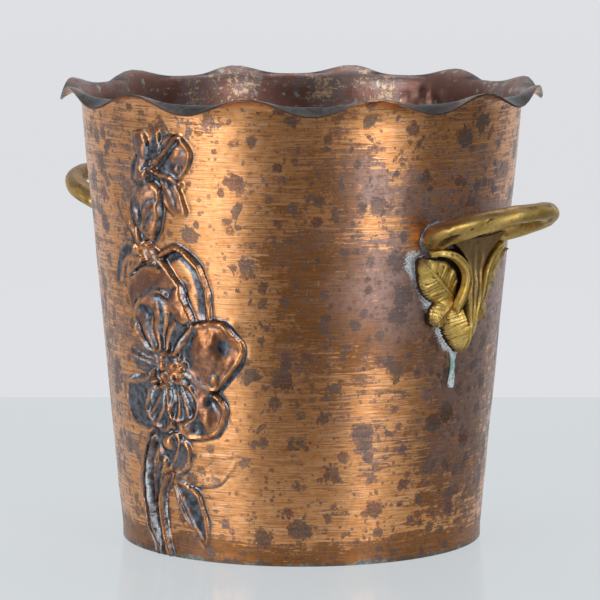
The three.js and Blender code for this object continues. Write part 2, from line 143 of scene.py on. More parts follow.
def sheet_faces(rows, columns):
    """Faces of two grids, the second the back of the first, with a strip round their common border."""
    front = grid_faces(rows, columns)
    size = rows * columns
    number = np.arange(size).reshape(rows, columns)
    edge = np.concatenate([number[:, 0], number[-1, 1:], number[-2::-1, -1], number[0, -2::-1]])
    strip = np.stack([edge[:-1], edge[:-1] + size, edge[1:] + size, edge[1:]], axis=-1)
    return np.concatenate([front, front[:, ::-1] + size, strip])


made_pieces = []


def add_piece(name, points, faces, replaced, slot, masks=(), sharp=None, close_poles=False):
    """Puts points, given in millimetres, and faces into a mesh piece that stands for some solids.
    masks are named numbers per point for the materials, and sharp the angle of hard edges."""
    mesh = bpy.data.meshes.new(name)
    mesh.from_pydata((points.reshape(-1, 3) * MM).tolist(), [], faces.tolist())
    for mask, values in dict(masks).items():
        attribute = mesh.attributes.new(mask, "FLOAT", "POINT")
        attribute.data.foreach_set("value", np.asarray(values, np.float32).ravel())
    if close_poles:
        shape = bmesh.new()
        shape.from_mesh(mesh)
        bmesh.ops.remove_doubles(shape, verts=shape.verts, dist=1e-6)
        shape.to_mesh(mesh)
        shape.free()
    mesh.polygons.foreach_set("use_smooth", np.ones(len(mesh.polygons), bool))
    if sharp is not None:
        mesh.set_sharp_from_angle(angle=np.radians(sharp))
    mesh.update()
    piece = bpy.data.objects.new(name, mesh)
    scene.collection.objects.link(piece)
    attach(piece, "root")
    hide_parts(*replaced)
    made_pieces.append((piece, slot))
    print(f"{name}: {len(mesh.vertices)} points, {len(faces)} faces")


def half_turned(points):
    """The same points turned half round the bucket's axis: x and y change sign."""
    return points * np.array([-1.0, -1.0, 1.0])

# %% [markdown]
# ## The camera
# It stands where the photograph was taken from: a long lens, 1.83 m away, a little above the rim.

# %% Camera
VIEW_AZIMUTH = np.radians(42.6)
VIEW_ELEVATION = np.radians(7.5)
VIEW_DISTANCE = 1.834
AIM_HEIGHT = 0.1138
toward_camera = np.array([
    np.sin(VIEW_AZIMUTH) * np.cos(VIEW_ELEVATION),
    -np.cos(VIEW_AZIMUTH) * np.cos(VIEW_ELEVATION),
    np.sin(VIEW_ELEVATION),
])
camera_data = bpy.data.cameras.new("camera")
camera_data.sensor_width = 36.0
camera_data.lens = 227.2
camera_data.shift_x = -0.0027
camera_data.clip_end = 20.0
camera = bpy.data.objects.new("camera", camera_data)
camera.location = toward_camera * VIEW_DISTANCE + np.array([0, 0, AIM_HEIGHT])
camera.rotation_euler = (np.pi / 2 - VIEW_ELEVATION, 0, VIEW_AZIMUTH)
scene.collection.objects.link(camera)
scene.camera = camera
print("camera:", VIEW_DISTANCE, "m away, with a lens of", camera_data.lens, "mm")

# %% [markdown]
# ## Drawing the raised flowers
# The relief is a height over the wall, written on the unrolled wall as arc length s across the spray
# and height z. Petals are closed outlines: the height follows the distance to the outline, so that
# each has a raised lip and a hollowed middle. Stems are lines with a rounded section. Each new shape
# covers the ones under it, as a chaser works from the back petals to the front ones.

# %% Tools for the relief
def curve_through(points, steps=8, closed=False):
    """A smooth line through points: between two of them it is the Catmull-Rom cubic of the four points
    round it."""
    p = np.asarray(points, float)
    if closed:
        p = np.concatenate([p[-1:], p, p[:2]])
    else:
        p = np.concatenate([2 * p[:1] - p[1:2], p, 2 * p[-1:] - p[-2:-1]])
    t = np.linspace(0, 1, steps, endpoint=False)[None, :, None]
    a, b, c, d = (p[i:len(p) - 3 + i, None] for i in range(4))
    square, cube = 2 * a - 5 * b + 4 * c - d, 3 * b - a - 3 * c + d
    line = 0.5 * (2 * b + (c - a) * t + square * t**2 + cube * t**3)
    line = line.reshape(-1, p.shape[1])
    return line if closed else np.concatenate([line, p[-2:-1]])


def distance_to_line(s, z, line, closed=False):
    """Distance from each place (s, z) to the nearest stretch of a line, and the share along it there."""
    start = line
    end = np.roll(line, -1, axis=0) if closed else line[1:]
    start = start if closed else line[:-1]
    best = np.full(s.shape, 1e9)
    along = np.zeros(s.shape)
    for index, (a, b) in enumerate(zip(start, end)):
        step = b - a
        t = np.clip(((s - a[0]) * step[0] + (z - a[1]) * step[1]) / max(step @ step, 1e-9), 0, 1)
        d = np.hypot(s - a[0] - t * step[0], z - a[1] - t * step[1])
        nearer = d < best
        best = np.where(nearer, d, best)
        along = np.where(nearer, (index + t) / len(start), along)
    return best, along


def inside_outline(s, z, line):
    """True where a ray to the right crosses the closed outline an odd number of times."""
    a, b = line, np.roll(line, -1, axis=0)
    odd = np.zeros(s.shape, bool)
    for (s0, z0), (s1, z1) in zip(a, b):
        crosses = (z0 > z) != (z1 > z)
        odd ^= crosses & (s < (s1 - s0) * (z - z0) / (z1 - z0 if z1 != z0 else 1e-9) + s0)
    return odd


def blurred(field, reach, rounds=2):
    """Each cell becomes the mean of its neighbours within reach, first along one axis, then the other."""
    for axis in (0, 1) * rounds:
        field = np.mean([np.roll(field, step, axis=axis) for step in range(-reach, reach + 1)], axis=0)
    return field


class Relief:
    """The height of the chased relief in millimetres, and how dark its recesses are, on places (s, z).
    Noise shifts the places by up to 1 mm, so that lines look drawn by hand, and beaten is a factor
    from 0.6 to 1.4 that varies the height of each lip."""

    def __init__(self, s, z):
        self.s = s + 0.7 * lumps_at(s, z, 0, 6.5, 61) + 0.3 * lumps_at(s, z, 0, 2.4, 62)
        self.z = z + 0.7 * lumps_at(s, z, 0, 6.5, 63) + 0.3 * lumps_at(s, z, 0, 2.4, 64)
        self.beaten = 1 + 0.4 * lumps_at(s, z, 0, 5.5, 65)
        self.height = np.zeros(s.shape)
        self.dark = np.zeros(s.shape)
        self.black = np.zeros(s.shape)
        self.chalk_and_highlight = np.zeros(s.shape)

    def window(self, line, margin):
        """True for the cells near a line: only these are worked on."""
        low, high = line.min(0) - margin, line.max(0) + margin
        return (self.s > low[0]) & (self.s < high[0]) & (self.z > low[1]) & (self.z < high[1])

    def petal(self, outline, lip, middle, lip_width=3.0, belly=0.0, dark=0.0, rim_dark=0.5,
              root=None, ribs=0, rib_depth=0.5):
        """Over a closed outline the height starts at the lip, falls to the middle by an exponential and
        swells again by the belly; ribs fan out from the root as a cosine of the angle round it."""
        line = curve_through(outline, closed=True)
        near = self.window(line, 4)
        s, z = self.s[near], self.z[near]
        away, _ = distance_to_line(s, z, line, closed=True)
        depth = np.where(inside_outline(s, z, line), away, -away)
        inner = np.maximum(depth, 0)
        fall = np.exp(-((inner / (0.5 * lip_width)) ** 1.4))
        swelling = belly * smooth(inner / max(inner.max(), 1), 0.1, 1)
        rise = middle + (lip - middle) * fall * self.beaten[near] + swelling
        shade = dark * (1 - fall)
        if ribs:
            turn = np.arctan2(z - root[1], s - root[0])
            far = np.hypot(s - root[0], z - root[1])
            wave = np.cos(ribs * turn + 0.8 * np.sin(0.3 * far))
            fade = smooth(depth, 0, lip_width) * smooth(far, 1, 6)
            rise = rise + rib_depth * wave * fade
            lit = 1 - 0.75 * fade * smooth(wave, 0.2, 0.9)
            shade = shade * lit + 0.3 * fade * smooth(-wave, 0, 0.9)
        cover = smooth(depth, -0.5, 0.9)
        chase = bell(depth + 0.9, 0.8)
        self.height[near] = self.height[near] * (1 - cover) + rise * cover - 0.4 * chase * rim_dark
        shade = self.dark[near] * (1 - cover) + shade * cover + 0.7 * rim_dark * chase
        self.dark[near] = np.clip(shade, 0, 1)
        thin = bell(depth + 0.35, 0.55)
        self.black[near] = np.maximum(self.black[near] * (1 - cover), 0.7 * rim_dark * thin)
        self.chalk_and_highlight[near] *= 1 - cover

    def stem(self, points, width, rise, taper=0.0, dark=0.0, rim_dark=0.5):
        """A ridge along a line, half an ellipse in section, that narrows by taper to its end."""
        line = curve_through(points)
        near = self.window(line, width + 3)
        away, along = distance_to_line(self.s[near], self.z[near], line)
        half = 0.5 * width * (1 - taper * along)
        arch = np.sqrt(np.clip(1 - (away / half) ** 2, 0, 1))
        cover = smooth(half - away, -0.3, 0.6)
        base = self.height[near]
        top = np.maximum(base * 0.5, 0) + rise * (1 - taper * along) * arch
        chase = bell(away - half - 0.6, 0.8)
        self.height[near] = base * (1 - cover) + top * cover - 0.35 * chase
        self.dark[near] = np.clip(self.dark[near] * (1 - cover) + dark * cover + rim_dark * chase, 0, 1)
        self.black[near] = self.black[near] * (1 - cover) + dark * cover

    def cut(self, points, width, depth, dark):
        """A line cut or pressed into the sheet: a bell-shaped groove, or a low crest below 0."""
        line = curve_through(points)
        near = self.window(line, 2 * width + 1)
        away, _ = distance_to_line(self.s[near], self.z[near], line)
        groove = bell(away, 0.5 * width)
        self.height[near] -= depth * groove
        self.dark[near] = np.clip(self.dark[near] + dark * groove, 0, 1)
        self.black[near] = np.maximum(self.black[near], 0.7 * dark * groove)

    def add_chalk_and_highlight(self, points, width, share=0.9):
        """A pale streak along a line, bell-shaped across it, thin at both ends: dried polish and painted
        highlight.
        """
        line = curve_through(points)
        near = self.window(line, 3)
        away, along = distance_to_line(self.s[near], self.z[near], line)
        ends = np.sin(np.pi * np.clip(along, 0.05, 0.95)) ** 0.5
        streak = share * bell(away, 0.5 * width) * ends
        self.chalk_and_highlight[near] = np.maximum(self.chalk_and_highlight[near], streak)

    def swell(self, s, z, radius, rise, dark=0.0):
        """A soft rise, or a hollow below 0, shaped like a bell."""
        hump = np.exp(-(((self.s - s) ** 2 + (self.z - z) ** 2) / radius**2))
        self.height += rise * hump
        self.dark = np.clip(self.dark + dark * hump, 0, 1)

    def bead(self, s, z, radius, rise):
        """A small round boss, half an ellipse in section, with a chased ring round it."""
        away = np.hypot(self.s - s, self.z - z)
        cover = smooth(radius - away, -0.3, 0.4)
        arch = np.sqrt(np.clip(1 - (away / radius) ** 2, 0, 1))
        ring = bell(away - radius - 0.4, 0.5)
        self.height += rise * arch - 0.25 * ring
        self.dark = np.clip(self.dark * (1 - cover) + 0.6 * ring, 0, 1)

# %% [markdown]
# ## The spray itself
# From the base up: three stems with a drooping leaf and an engraved one, the big open flower in the
# middle, two arching stems with small leaves, a bud, and a small flower under the rim.

# %% The spray's shapes
def draw_foot(relief):
    """The stems, the leaves at the foot and the calyx under the open flower."""
    draw, line, cut = relief.petal, relief.stem, relief.cut
    line([(-12, 59), (-17, 49), (-19.6, 38), (-19.4, 26), (-17, 13), (-11.5, 1)], 3.4, 2.6, dark=0.35)
    line([(-8, 57), (-13, 46), (-15.2, 34), (-15, 22), (-12.3, 11), (-8, 1)], 3.6, 3.4, dark=0.6)
    line([(-4.5, 56), (-6, 47), (-9.4, 38), (-11, 26), (-10, 14), (-6.6, 1)], 2.6, 2.2, dark=0.8)
    line([(-2, 39), (-5.6, 32), (-7, 22), (-6, 11), (-3.4, 1)], 3.2, 2.9, dark=0.3)
    cut([(-5, 36), (-8.8, 26), (-8.4, 14), (-5.2, 2)], 1.8, 0.7, 0.9)
    cut([(-11, 50), (-17.4, 38), (-17.2, 24), (-14.2, 10), (-9.4, 1)], 1.6, 0.6, 0.9)
    draw([(1, 38), (9, 36), (15.5, 33), (18.8, 26), (19.8, 17), (18.8, 8), (13, 13), (6.5, 20), (3, 29)],
         lip=2.4, middle=0.7, lip_width=2.6, dark=0.6, rim_dark=0.4)
    line([(3, 36), (8, 26), (13, 16), (17.5, 9)], 1.5, 1.3, taper=0.5, rim_dark=0.3)
    for vein in ([(7, 30), (12, 30)], [(9.6, 25), (15.6, 26.6)], [(12, 20), (17.6, 21)],
                 [(5.6, 28), (7.6, 23)]):
        cut(vein, 0.8, 0.35, 0.3)
    cut([(2, 40), (9, 44), (17, 50), (25, 51.6), (34, 50.6)], 1.1, -0.35, 0.3)
    cut([(3, 41.4), (9, 45.6), (17, 51.6), (25, 53), (33, 51.6)], 1.0, 0.3, 0.7)
    cut([(2, 39.4), (12, 36.6), (20, 36.4), (27, 38), (32, 42.6), (36, 48)], 1.1, -0.35, 0.25)
    cut([(4, 38), (12, 35.4), (20, 35), (27, 36.6), (33, 41.6)], 1.0, 0.3, 0.75)
    cut([(8, 41), (16, 42), (22, 46.5), (26, 50)], 0.8, 0.4, 0.5)
    relief.swell(24, 44.6, 5, -0.5, 0.25)
    draw([(1, 42), (3.5, 48), (8.5, 57.5), (12.5, 54), (12.5, 46), (7, 41.6)], lip=2.0, middle=0.4,
         lip_width=2.6, dark=0.5)
    draw([(-7, 60), (7.5, 60), (6.5, 52), (2, 43), (-1.5, 42), (-5, 50)], lip=2.6, middle=1.0,
         lip_width=2, dark=0.6)
    relief.bead(1, 55.4, 4.2, 2.6)
    relief.bead(3.6, 64, 2.6, 2.0)
    relief.bead(-2.2, 45.5, 2.2, 1.4)
    # Pale streaks along the stems: painted highlight on their lit sides, and dried polish.
    streaks = [([(-10.6, 52), (-12.6, 44), (-14.6, 34), (-14.4, 24), (-11.4, 12.6), (-7.2, 0)], 1.3),
               ([(-12.6, 30), (-12.8, 22), (-9.8, 12), (-5.6, 1)], 0.9),
               ([(-0.6, 37), (-3.6, 30), (-4.8, 21), (-4.2, 11.5), (-1.6, 0)], 1.2),
               ([(1.6, 35), (4.6, 31), (6, 25)], 1.6), ([(3, 40.8), (8, 42.6), (11, 47)], 1.0)]
    for streak, width in streaks:
        relief.add_chalk_and_highlight(streak, width)


def draw_open_flower(relief):
    """The open flower: its back petals, then the front ones with their fans of ribs, then the stamens."""
    draw, line, swell = relief.petal, relief.stem, relief.swell
    draw([(-21, 128), (-16, 134), (-8, 138.5), (1, 139.3), (9, 136), (15.5, 127), (12, 116), (0, 112),
          (-14, 113), (-19, 120)], lip=2.6, middle=1.6, lip_width=5, belly=1.0, dark=0.1, rim_dark=0.9)
    draw([(-25, 99), (-14, 101), (-5, 97), (-5, 90), (-14, 87), (-22, 90)], lip=1.2, middle=0.6, dark=0.3,
         rim_dark=0.3)
    draw([(20, 113), (26, 115.3), (34, 115.6), (38.5, 112), (43.5, 106), (44, 100), (41, 94), (36, 88),
          (31, 83), (25, 83), (18, 88), (12, 93), (12, 103)], lip=4.0, middle=1.8, lip_width=2.6,
         belly=1.6, rim_dark=0.5)
    swell(25, 105, 7.5, 1.5)
    swell(35, 103, 4.6, -1.3, 0.45)
    swell(39, 110, 4.0, 1.2)
    swell(16, 98, 5.0, -1.4, 0.8)
    swell(15, 108, 4.0, -1.2, 0.7)
    swell(40.4, 96, 3.0, 1.0, 0.4)
    relief.bead(30, 87.4, 2.4, 0.9)
    draw([(-6, 88), (-12, 86), (-19, 84), (-27, 82), (-29.5, 76), (-28.5, 68), (-24, 62), (-16, 59.6),
          (-9, 60), (-3, 70)], lip=3.6, middle=1.0, lip_width=3.2, dark=0.7, rim_dark=0.6)
    draw([(12, 90), (20, 86), (26, 82.5), (31, 80), (34, 76), (33.5, 69), (30, 63), (25, 60), (17, 59),
          (10, 60.5), (8, 72)], lip=3.8, middle=1.8, lip_width=2.6, belly=1.5, rim_dark=0.5)
    swell(28, 76.5, 4.0, -1.5, 0.65)
    swell(19, 65, 4.6, -1.6, 0.85)
    swell(24, 68, 3.2, 1.4)
    swell(12, 66.5, 3.6, 1.2)
    line([(13, 90), (20, 86.6), (27, 82.4)], 2.0, 1.6, taper=0.3)
    draw([(-4, 83), (-9, 80), (-12.3, 73), (-11.4, 67), (-6, 62), (-1, 60.5), (4, 64), (5, 74), (3, 83)],
         lip=4.2, middle=0.8, lip_width=2.4, dark=0.8, rim_dark=0.8, root=(4, 88), ribs=26, rib_depth=0.5)
    draw([(2, 84), (1.6, 74), (3, 68.5), (8.5, 65.5), (14, 66.5), (19, 70), (20, 76), (17, 83), (10, 86)],
         lip=3.8, middle=0.8, lip_width=2.2, dark=0.8, rim_dark=0.7, root=(8, 90), ribs=24, rib_depth=0.5)
    draw([(-17, 111), (-14.5, 119), (-9.5, 123.5), (-3, 127.5), (3, 127.8), (10, 124), (17, 122),
          (20.5, 112), (14, 104.5), (8, 98), (-6, 98.5), (-12, 103)], lip=4.6, middle=0.9, lip_width=3.0,
         dark=0.75, rim_dark=0.9, root=(1, 90), ribs=15, rib_depth=0.9)
    swell(-8, 121, 4.0, 1.3, -0.9)
    swell(8, 122.6, 3.0, -0.9, 0.6)
    draw([(7, 122), (9, 127), (13, 129), (16, 124), (20, 117), (16, 113), (11, 115)], lip=2.8, middle=2.8,
         lip_width=3, belly=0.8, rim_dark=0.6)
    line([(-17, 110), (-12, 103.6), (-7, 99)], 1.8, 2.2)
    line([(9, 98), (14, 103), (20, 110)], 2.0, 2.4, taper=0.3)
    line([(-24, 95.8), (-15, 94.6), (-6, 93.4)], 1.5, 1.7, taper=0.3)
    line([(-21, 99), (-13, 97.4), (-6, 95.6)], 1.2, 1.4, taper=0.3)
    line([(-22, 90), (-14, 90.4), (-6, 91.4)], 1.0, 1.0, taper=0.3)
    stamens = [(0, 95.5, 2.2), (-0.4, 91.5, 2.4), (0.2, 87.2, 2.0), (6, 92.6, 2.2), (5.4, 87.4, 1.9),
               (-5, 85, 1.7), (11, 96.4, 1.5), (10.4, 91, 1.6), (3, 98.6, 1.5), (3.4, 83.4, 1.5),
               (14, 93.4, 1.3), (-6.4, 89, 1.4), (9, 86, 1.4), (12.6, 88.6, 1.2)]
    for s, z, radius in stamens:
        relief.bead(s, z, radius, 2.0)
    # Pale streaks along petal folds and ribs: painted highlight, and dried polish.
    streaks = [[(-24, 95), (-15, 93.8), (-6, 92.6)], [(-21, 98.2), (-13, 96.6), (-6, 94.8)],
               [(-12, 104.6), (-7, 100), (-2, 97)], [(19, 111), (13.4, 105), (9, 99.4)],
               [(26, 82.6), (18, 88), (12, 90.6)], [(-3, 84), (-7, 79), (-9, 72)],
               [(1, 84), (-1, 77), (-2, 69)], [(6, 84), (6, 76), (8, 70)], [(10, 85), (13, 78), (15, 73)],
               [(-17, 86.6), (-23, 84.4), (-28, 79)]]
    for streak in streaks:
        relief.add_chalk_and_highlight(streak, 1.1)


def draw_upper_stems(relief):
    """The arching stems above the open flower, the drooping leaves beside them and the thin leaf."""
    draw, line, cut = relief.petal, relief.stem, relief.cut
    cut([(8, 144), (14, 144.5), (20, 140), (23.6, 131), (24.4, 119)], 4.4, 0.6, 0.75)
    line([(3, 144), (8, 147.4), (14, 148), (20, 145), (25, 138), (28, 128), (28.6, 117)], 3.0, 2.8)
    line([(-5, 149), (1, 145), (6.5, 139), (11, 131.5), (15.2, 123)], 3.6, 3.2)
    relief.swell(-6, 144.6, 3.4, -1.2, 1.0)
    line([(-4, 149.3), (-9.6, 147.6), (-10.8, 143), (-7.5, 140.2), (-2, 140.8)], 1.6, 1.5, rim_dark=0.5)
    draw([(-14, 147.5), (-20, 148.6), (-27, 144.6), (-31.6, 137), (-32.2, 128.6), (-28, 129),
          (-25.6, 136), (-21, 141.4), (-15.6, 143)], lip=2.4, middle=0.6, lip_width=1.6, dark=0.85,
         rim_dark=0.8)
    draw([(-8.6, 141.6), (-13.5, 142), (-17.6, 138.6), (-19.6, 133.6), (-21.6, 130), (-17, 132),
          (-14.6, 136.6), (-10.6, 138.8)], lip=2.6, middle=1.6, lip_width=1.4, dark=0.4, rim_dark=0.9)
    cut([(-13, 151), (-19, 158), (-24.6, 166), (-28.6, 175)], 1.2, -1.0, 0.0)
    cut([(-14.8, 150.6), (-21, 158), (-26.6, 166), (-30, 173)], 1.1, 0.5, 0.9)
    cut([(-12.4, 151), (-15.6, 159), (-20.6, 168.6), (-23, 176)], 1.2, 0.5, 0.9)
    cut([(-16, 157), (-21, 162), (-27, 172)], 0.8, 0.3, 0.7)
    relief.bead(-10.6, 150.4, 2.4, 1.6)
    # Pale streaks along the stems: painted highlight on their lit sides, and dried polish.
    for streak in ([(-5, 148), (-8.6, 144.6), (-7, 141.4)], [(6, 139), (10, 132), (14, 124.6)],
                   [(-3, 149), (2, 145), (7, 138.6)]):
        relief.add_chalk_and_highlight(streak, 0.9)


def draw_bud_and_top(relief):
    """The bud with its cupping leaves, and the small flower under the rim."""
    draw, line, cut, swell = relief.petal, relief.stem, relief.cut, relief.swell
    draw([(-9, 178), (-13.6, 172), (-16.8, 166), (-15, 158), (-11.6, 150.6), (-9.4, 152), (-10.6, 162),
          (-9.6, 171)], lip=2.8, middle=1.8, lip_width=1.5, dark=0.3, rim_dark=0.8)
    draw([(-4, 178.6), (2, 178.6), (6.4, 174), (6.6, 166), (4.6, 159), (0, 152), (-7, 154.6),
          (-11.6, 161), (-12, 170), (-9, 176.6)], lip=3.0, middle=2.6, lip_width=3, belly=1.6,
         rim_dark=0.9)
    swell(-8, 166, 3.4, -1.8, 0.9)
    swell(-7, 160, 3.0, -1.5, 0.8)
    swell(-3.6, 174, 4.0, 1.2, -0.4)
    draw([(3.6, 170), (5.6, 166), (4, 158.6), (-1, 155), (-6, 156.4), (-4.6, 162), (-1, 168)], lip=3.8,
         middle=3.0, lip_width=1.6, belly=0.8, rim_dark=0.8)
    cut([(1.4, 165), (-1, 161), (-3.4, 157.4)], 1.4, 1.0, 0.8)
    draw([(-9.6, 178.6), (-1.4, 178.6), (-1, 185), (-2.6, 192), (-6.6, 191), (-9, 185)], lip=2.4,
         middle=2.2, lip_width=2, belly=0.8, rim_dark=0.9)
    draw([(-14, 178), (-9.6, 179), (-8.6, 187), (-6, 193), (-10, 191), (-13.6, 185)], lip=1.6, middle=0.8,
         lip_width=1.6, dark=0.6)
    draw([(5, 190), (7, 197), (12, 201), (19, 201), (24.6, 194), (23, 187), (17.6, 180.6), (8, 183)],
         lip=2.2, middle=1.0, lip_width=2, belly=0.6, dark=0.25, rim_dark=0.4)
    swell(12, 187.4, 2.4, -0.9, 0.9)
    swell(17, 193, 4.0, 0.7)
    draw([(6, 182), (12, 181), (17, 176), (20.4, 168), (19.6, 163.6), (13, 164), (9, 168), (7, 175)],
         lip=2.4, middle=1.0, lip_width=1.5, belly=0.6, dark=0.15, rim_dark=0.5)
    cut([(10, 179), (13, 174), (14.6, 169)], 1.2, 0.6, 0.6)
    draw([(-2, 187), (-7.6, 193), (-9, 200), (-5, 204), (-1, 199), (0.6, 192)], lip=2.2, middle=1.6,
         lip_width=1.6, belly=0.6, dark=0.3, rim_dark=0.7)
    draw([(1, 188), (0.6, 196), (3, 203.6), (6.6, 202), (7, 195), (4.6, 188.6)], lip=2.8, middle=1.0,
         lip_width=1.4, dark=0.7, rim_dark=0.9)
    line([(4.6, 188), (10, 193), (16.6, 200.4)], 2.8, 3.2, taper=0.2)
    cut([(6.8, 187.4), (12.4, 192.4), (18, 198.4)], 1.4, 0.7, 0.9)
    line([(-0.6, 184.6), (6, 183), (12, 181), (18.6, 178)], 2.6, 2.8, taper=0.2, rim_dark=0.9)
    relief.bead(17, 185, 1.9, 1.0)
    relief.bead(1.6, 186, 2.2, 1.4)
    relief.bead(-1.6, 182, 1.8, 1.2)
    swell(3, 183, 2.4, 0.0, 0.9)


# The raster's step, its half width and its lower and upper end, in millimetres
RASTER = 0.3
SPRAY_HALF_WIDTH = 48.0
SPRAY_SPAN = (-4, 208)

# Where polish has dried white in the recesses: place, half width and half height, strength
POWDERED = [(3, 89, 14, 13, 1.2), (-6, 146, 7, 7, 0.7), (2, 187, 8, 10, 0.6), (14, 118, 9, 10, 0.7),
            (-18, 92, 8, 7, 0.5), (41, 100, 6, 12, 0.5), (-12, 164, 6, 14, 0.5), (12, 22, 8, 14, 0.3),
            (2, 46, 8, 8, 0.4)]


def finished_spray():
    """The spray on a fine square raster, in five layers: its height, how dark each recess is, how far each
    ridge is rubbed bright, how much dried polish and painted highlight lies there, and how brown the petals
    are between their ridges. What lies lower than its blurred surroundings goes dark: dark patina in the
    hollows, and painted shade at the feet of raised forms and in a wide halo round them."""
    across = np.arange(-SPRAY_HALF_WIDTH - 2, SPRAY_HALF_WIDTH + 2, RASTER)
    up = np.arange(*SPRAY_SPAN, RASTER)
    relief = Relief(*np.meshgrid(across, up, indexing="ij"))
    for drawing in (draw_foot, draw_upper_stems, draw_open_flower, draw_bud_and_top):
        drawing(relief)
    s, z = relief.s, relief.z
    height = blurred(relief.height, 1)
    raised = smooth(height, 0.3, 1.5)
    height = height + raised * (0.36 * lumps_at(s, z, 0, 4.5, 21) + 0.17 * lumps_at(s, z, 0, 1.7, 22))
    sunk = blurred(height, 5) - height
    far_sunk = blurred(height, 14) - height
    # Dark patina in the hollows, and painted shade: sunk at the feet of raised forms, far_sunk in a wide
    # halo round them.
    dark = 0.85 * blurred(relief.dark, 1) + 0.8 * smooth(sunk, 0.05, 0.6)
    dark = dark + 0.55 * smooth(far_sunk, 0.12, 1.1)
    black = blurred(relief.black, 2)
    ridge = smooth(-sunk, 0.12, 0.5) * (1 - 0.9 * black)
    flat = 1 - smooth(height, 0, 0.8)
    cleaned = flat * np.clip(0.66 + 0.4 * lumps_at(s, z, 0, 9, 25), 0, 0.95)
    dark = np.clip(dark, 0, 1) * (1 - cleaned) + 0.5 * black
    dark = np.clip(dark - 0.4 * ridge, 0, 1)
    toned = smooth(height, 0.3, 1.2) * (1 - 0.75 * ridge)
    powder = 0
    for middle_s, middle_z, wide, tall, share in POWDERED:
        powder = powder + share * np.exp(-(((s - middle_s) / wide) ** 2) - ((z - middle_z) / tall) ** 2)
    crumbs = lumps_at(s, 0.45 * z, 0, 1.3, 23) + 0.8 * lumps_at(s, z, 0, 0.6, 24)
    powder = np.clip(powder, 0, 1) * smooth(dark, 0.25, 0.6) * smooth(crumbs, -0.8, 1.3)
    # The chalked streaks join the polish here: dried polish, and painted highlight along stems and ribs.
    powder = np.maximum(0.8 * powder, 1.1 * blurred(relief.chalk_and_highlight, 1) * smooth(crumbs, -1.3, 0.5))
    return across, up, height, dark, ridge, powder, toned


SPRAY_ACROSS, SPRAY_UP, *SPRAY_LAYERS = finished_spray()


def spray_at(layer, s, z):
    """The value of a layer at places (s, z), blended between the four nearest raster cells."""
    row = np.clip((s - SPRAY_ACROSS[0]) / RASTER, 0, len(SPRAY_ACROSS) - 1.001)
    column = np.clip((z - SPRAY_UP[0]) / RASTER, 0, len(SPRAY_UP) - 1.001)
    i, j = row.astype(int), column.astype(int)
    p, q = row - i, column - j
    low = layer[i, j] * (1 - q) + layer[i, j + 1] * q
    high = layer[i + 1, j] * (1 - q) + layer[i + 1, j + 1] * q
    return low * (1 - p) + high * p


print("spray raster:", SPRAY_LAYERS[0].shape)
print("highest place:", round(float(SPRAY_LAYERS[0].max()), 2), "mm")

# %% [markdown]
# ## The copper wall
# One sheet makes wall and rim. The rim's section at each angle blends a peak, which curves up and
# out, with a trough, which rolls over and hangs down. Columns lie closer together where the flowers
# are, so the relief is true shape and not only shading. The inner sheet follows the outer one a
# millimetre behind, so the flowers are hollow from inside, as in the real bucket.

# %% Build the wall
FINE_FRONT, FINE_BACK, PLAIN_COLUMNS = 152, 84, 42
WALL_ROWS, FLARE_ROWS = 230, 16
INNER_ROW_STEP = 6


def wall_angles():
    """Angles round the wall, starting at +X: fine steps over the two sprays, wide ones between them."""
    half = SPRAY_HALF_WIDTH / wall_radius(100)
    back, front = np.pi / 2, 1.5 * np.pi
    stretches = [
        np.linspace(0, back - half, PLAIN_COLUMNS // 2, endpoint=False),
        np.linspace(back - half, back + half, FINE_BACK, endpoint=False),
        np.linspace(back + half, front - half, PLAIN_COLUMNS, endpoint=False),
        np.linspace(front - half, front + half, FINE_FRONT, endpoint=False),
        np.linspace(front + half, 2 * np.pi, PLAIN_COLUMNS // 2, endpoint=False),
    ]
    return np.concatenate(stretches)


def flare_profile(angle, t):
    """Radius and height of the rim's outside: the reach grows as 0.1 t + 0.9 t squared; a peak rises as
    a quarter sine, and a trough rises along one parabola and falls along another."""
    reach = FLARE_REACH * (0.1 * t + 0.9 * t * t)
    peak = PEAK_RISE * np.sin(t * np.pi / 2)
    up = TROUGH_CREST_RISE * (1 - ((t - TROUGH_CREST_AT) / TROUGH_CREST_AT) ** 2)
    fall = ((t - TROUGH_CREST_AT) / (1 - TROUGH_CREST_AT)) ** 2
    down = TROUGH_CREST_RISE - (TROUGH_CREST_RISE - TROUGH_EDGE_RISE) * fall
    share = 0.5 + 0.5 * np.cos(SCALLOPS * angle)
    rise = share * peak + (1 - share) * np.where(t < TROUGH_CREST_AT, up, down)
    return NECK_RADIUS + reach, NECK_HEIGHT + rise


def hollow_behind(height, columns=3, rows=7):
    """The lowest relief height within a few cells, then averaged: a softened shape that stays behind."""
    for axis, reach in ((0, columns), (1, rows)):
        shifted = [np.roll(height, step, axis=axis) for step in range(-reach, reach + 1)]
        height = np.minimum.reduce(shifted)
    return blurred(height, columns, 1)


# Hollows pressed out (above 0) and creases (below 0) at the back under the rim: azimuth in degrees,
# height, radius and rise
CRUMPLED = [(102.4, 205, 3.0, 0.9), (98.6, 206.5, 4.2, 1.3), (98.4, 202, 2.6, -0.8),
            (93.8, 204, 3.6, 0.9), (96, 206, 2.0, -0.6), (91.6, 207, 2.4, -0.4)]


RIM_RADIUS = 112


def crumpled(angle, height):
    """How far the sheet is pressed out there: each place adds its rise times exp(-(distance / radius)
    squared)."""
    total = np.zeros(height.shape)
    for azimuth, middle, radius, rise in CRUMPLED:
        away = ((angle - np.radians(azimuth)) * RIM_RADIUS) ** 2 + (height - middle) ** 2
        total += rise * np.exp(-away / radius**2)
    return total


MEAN_RADIUS = 95


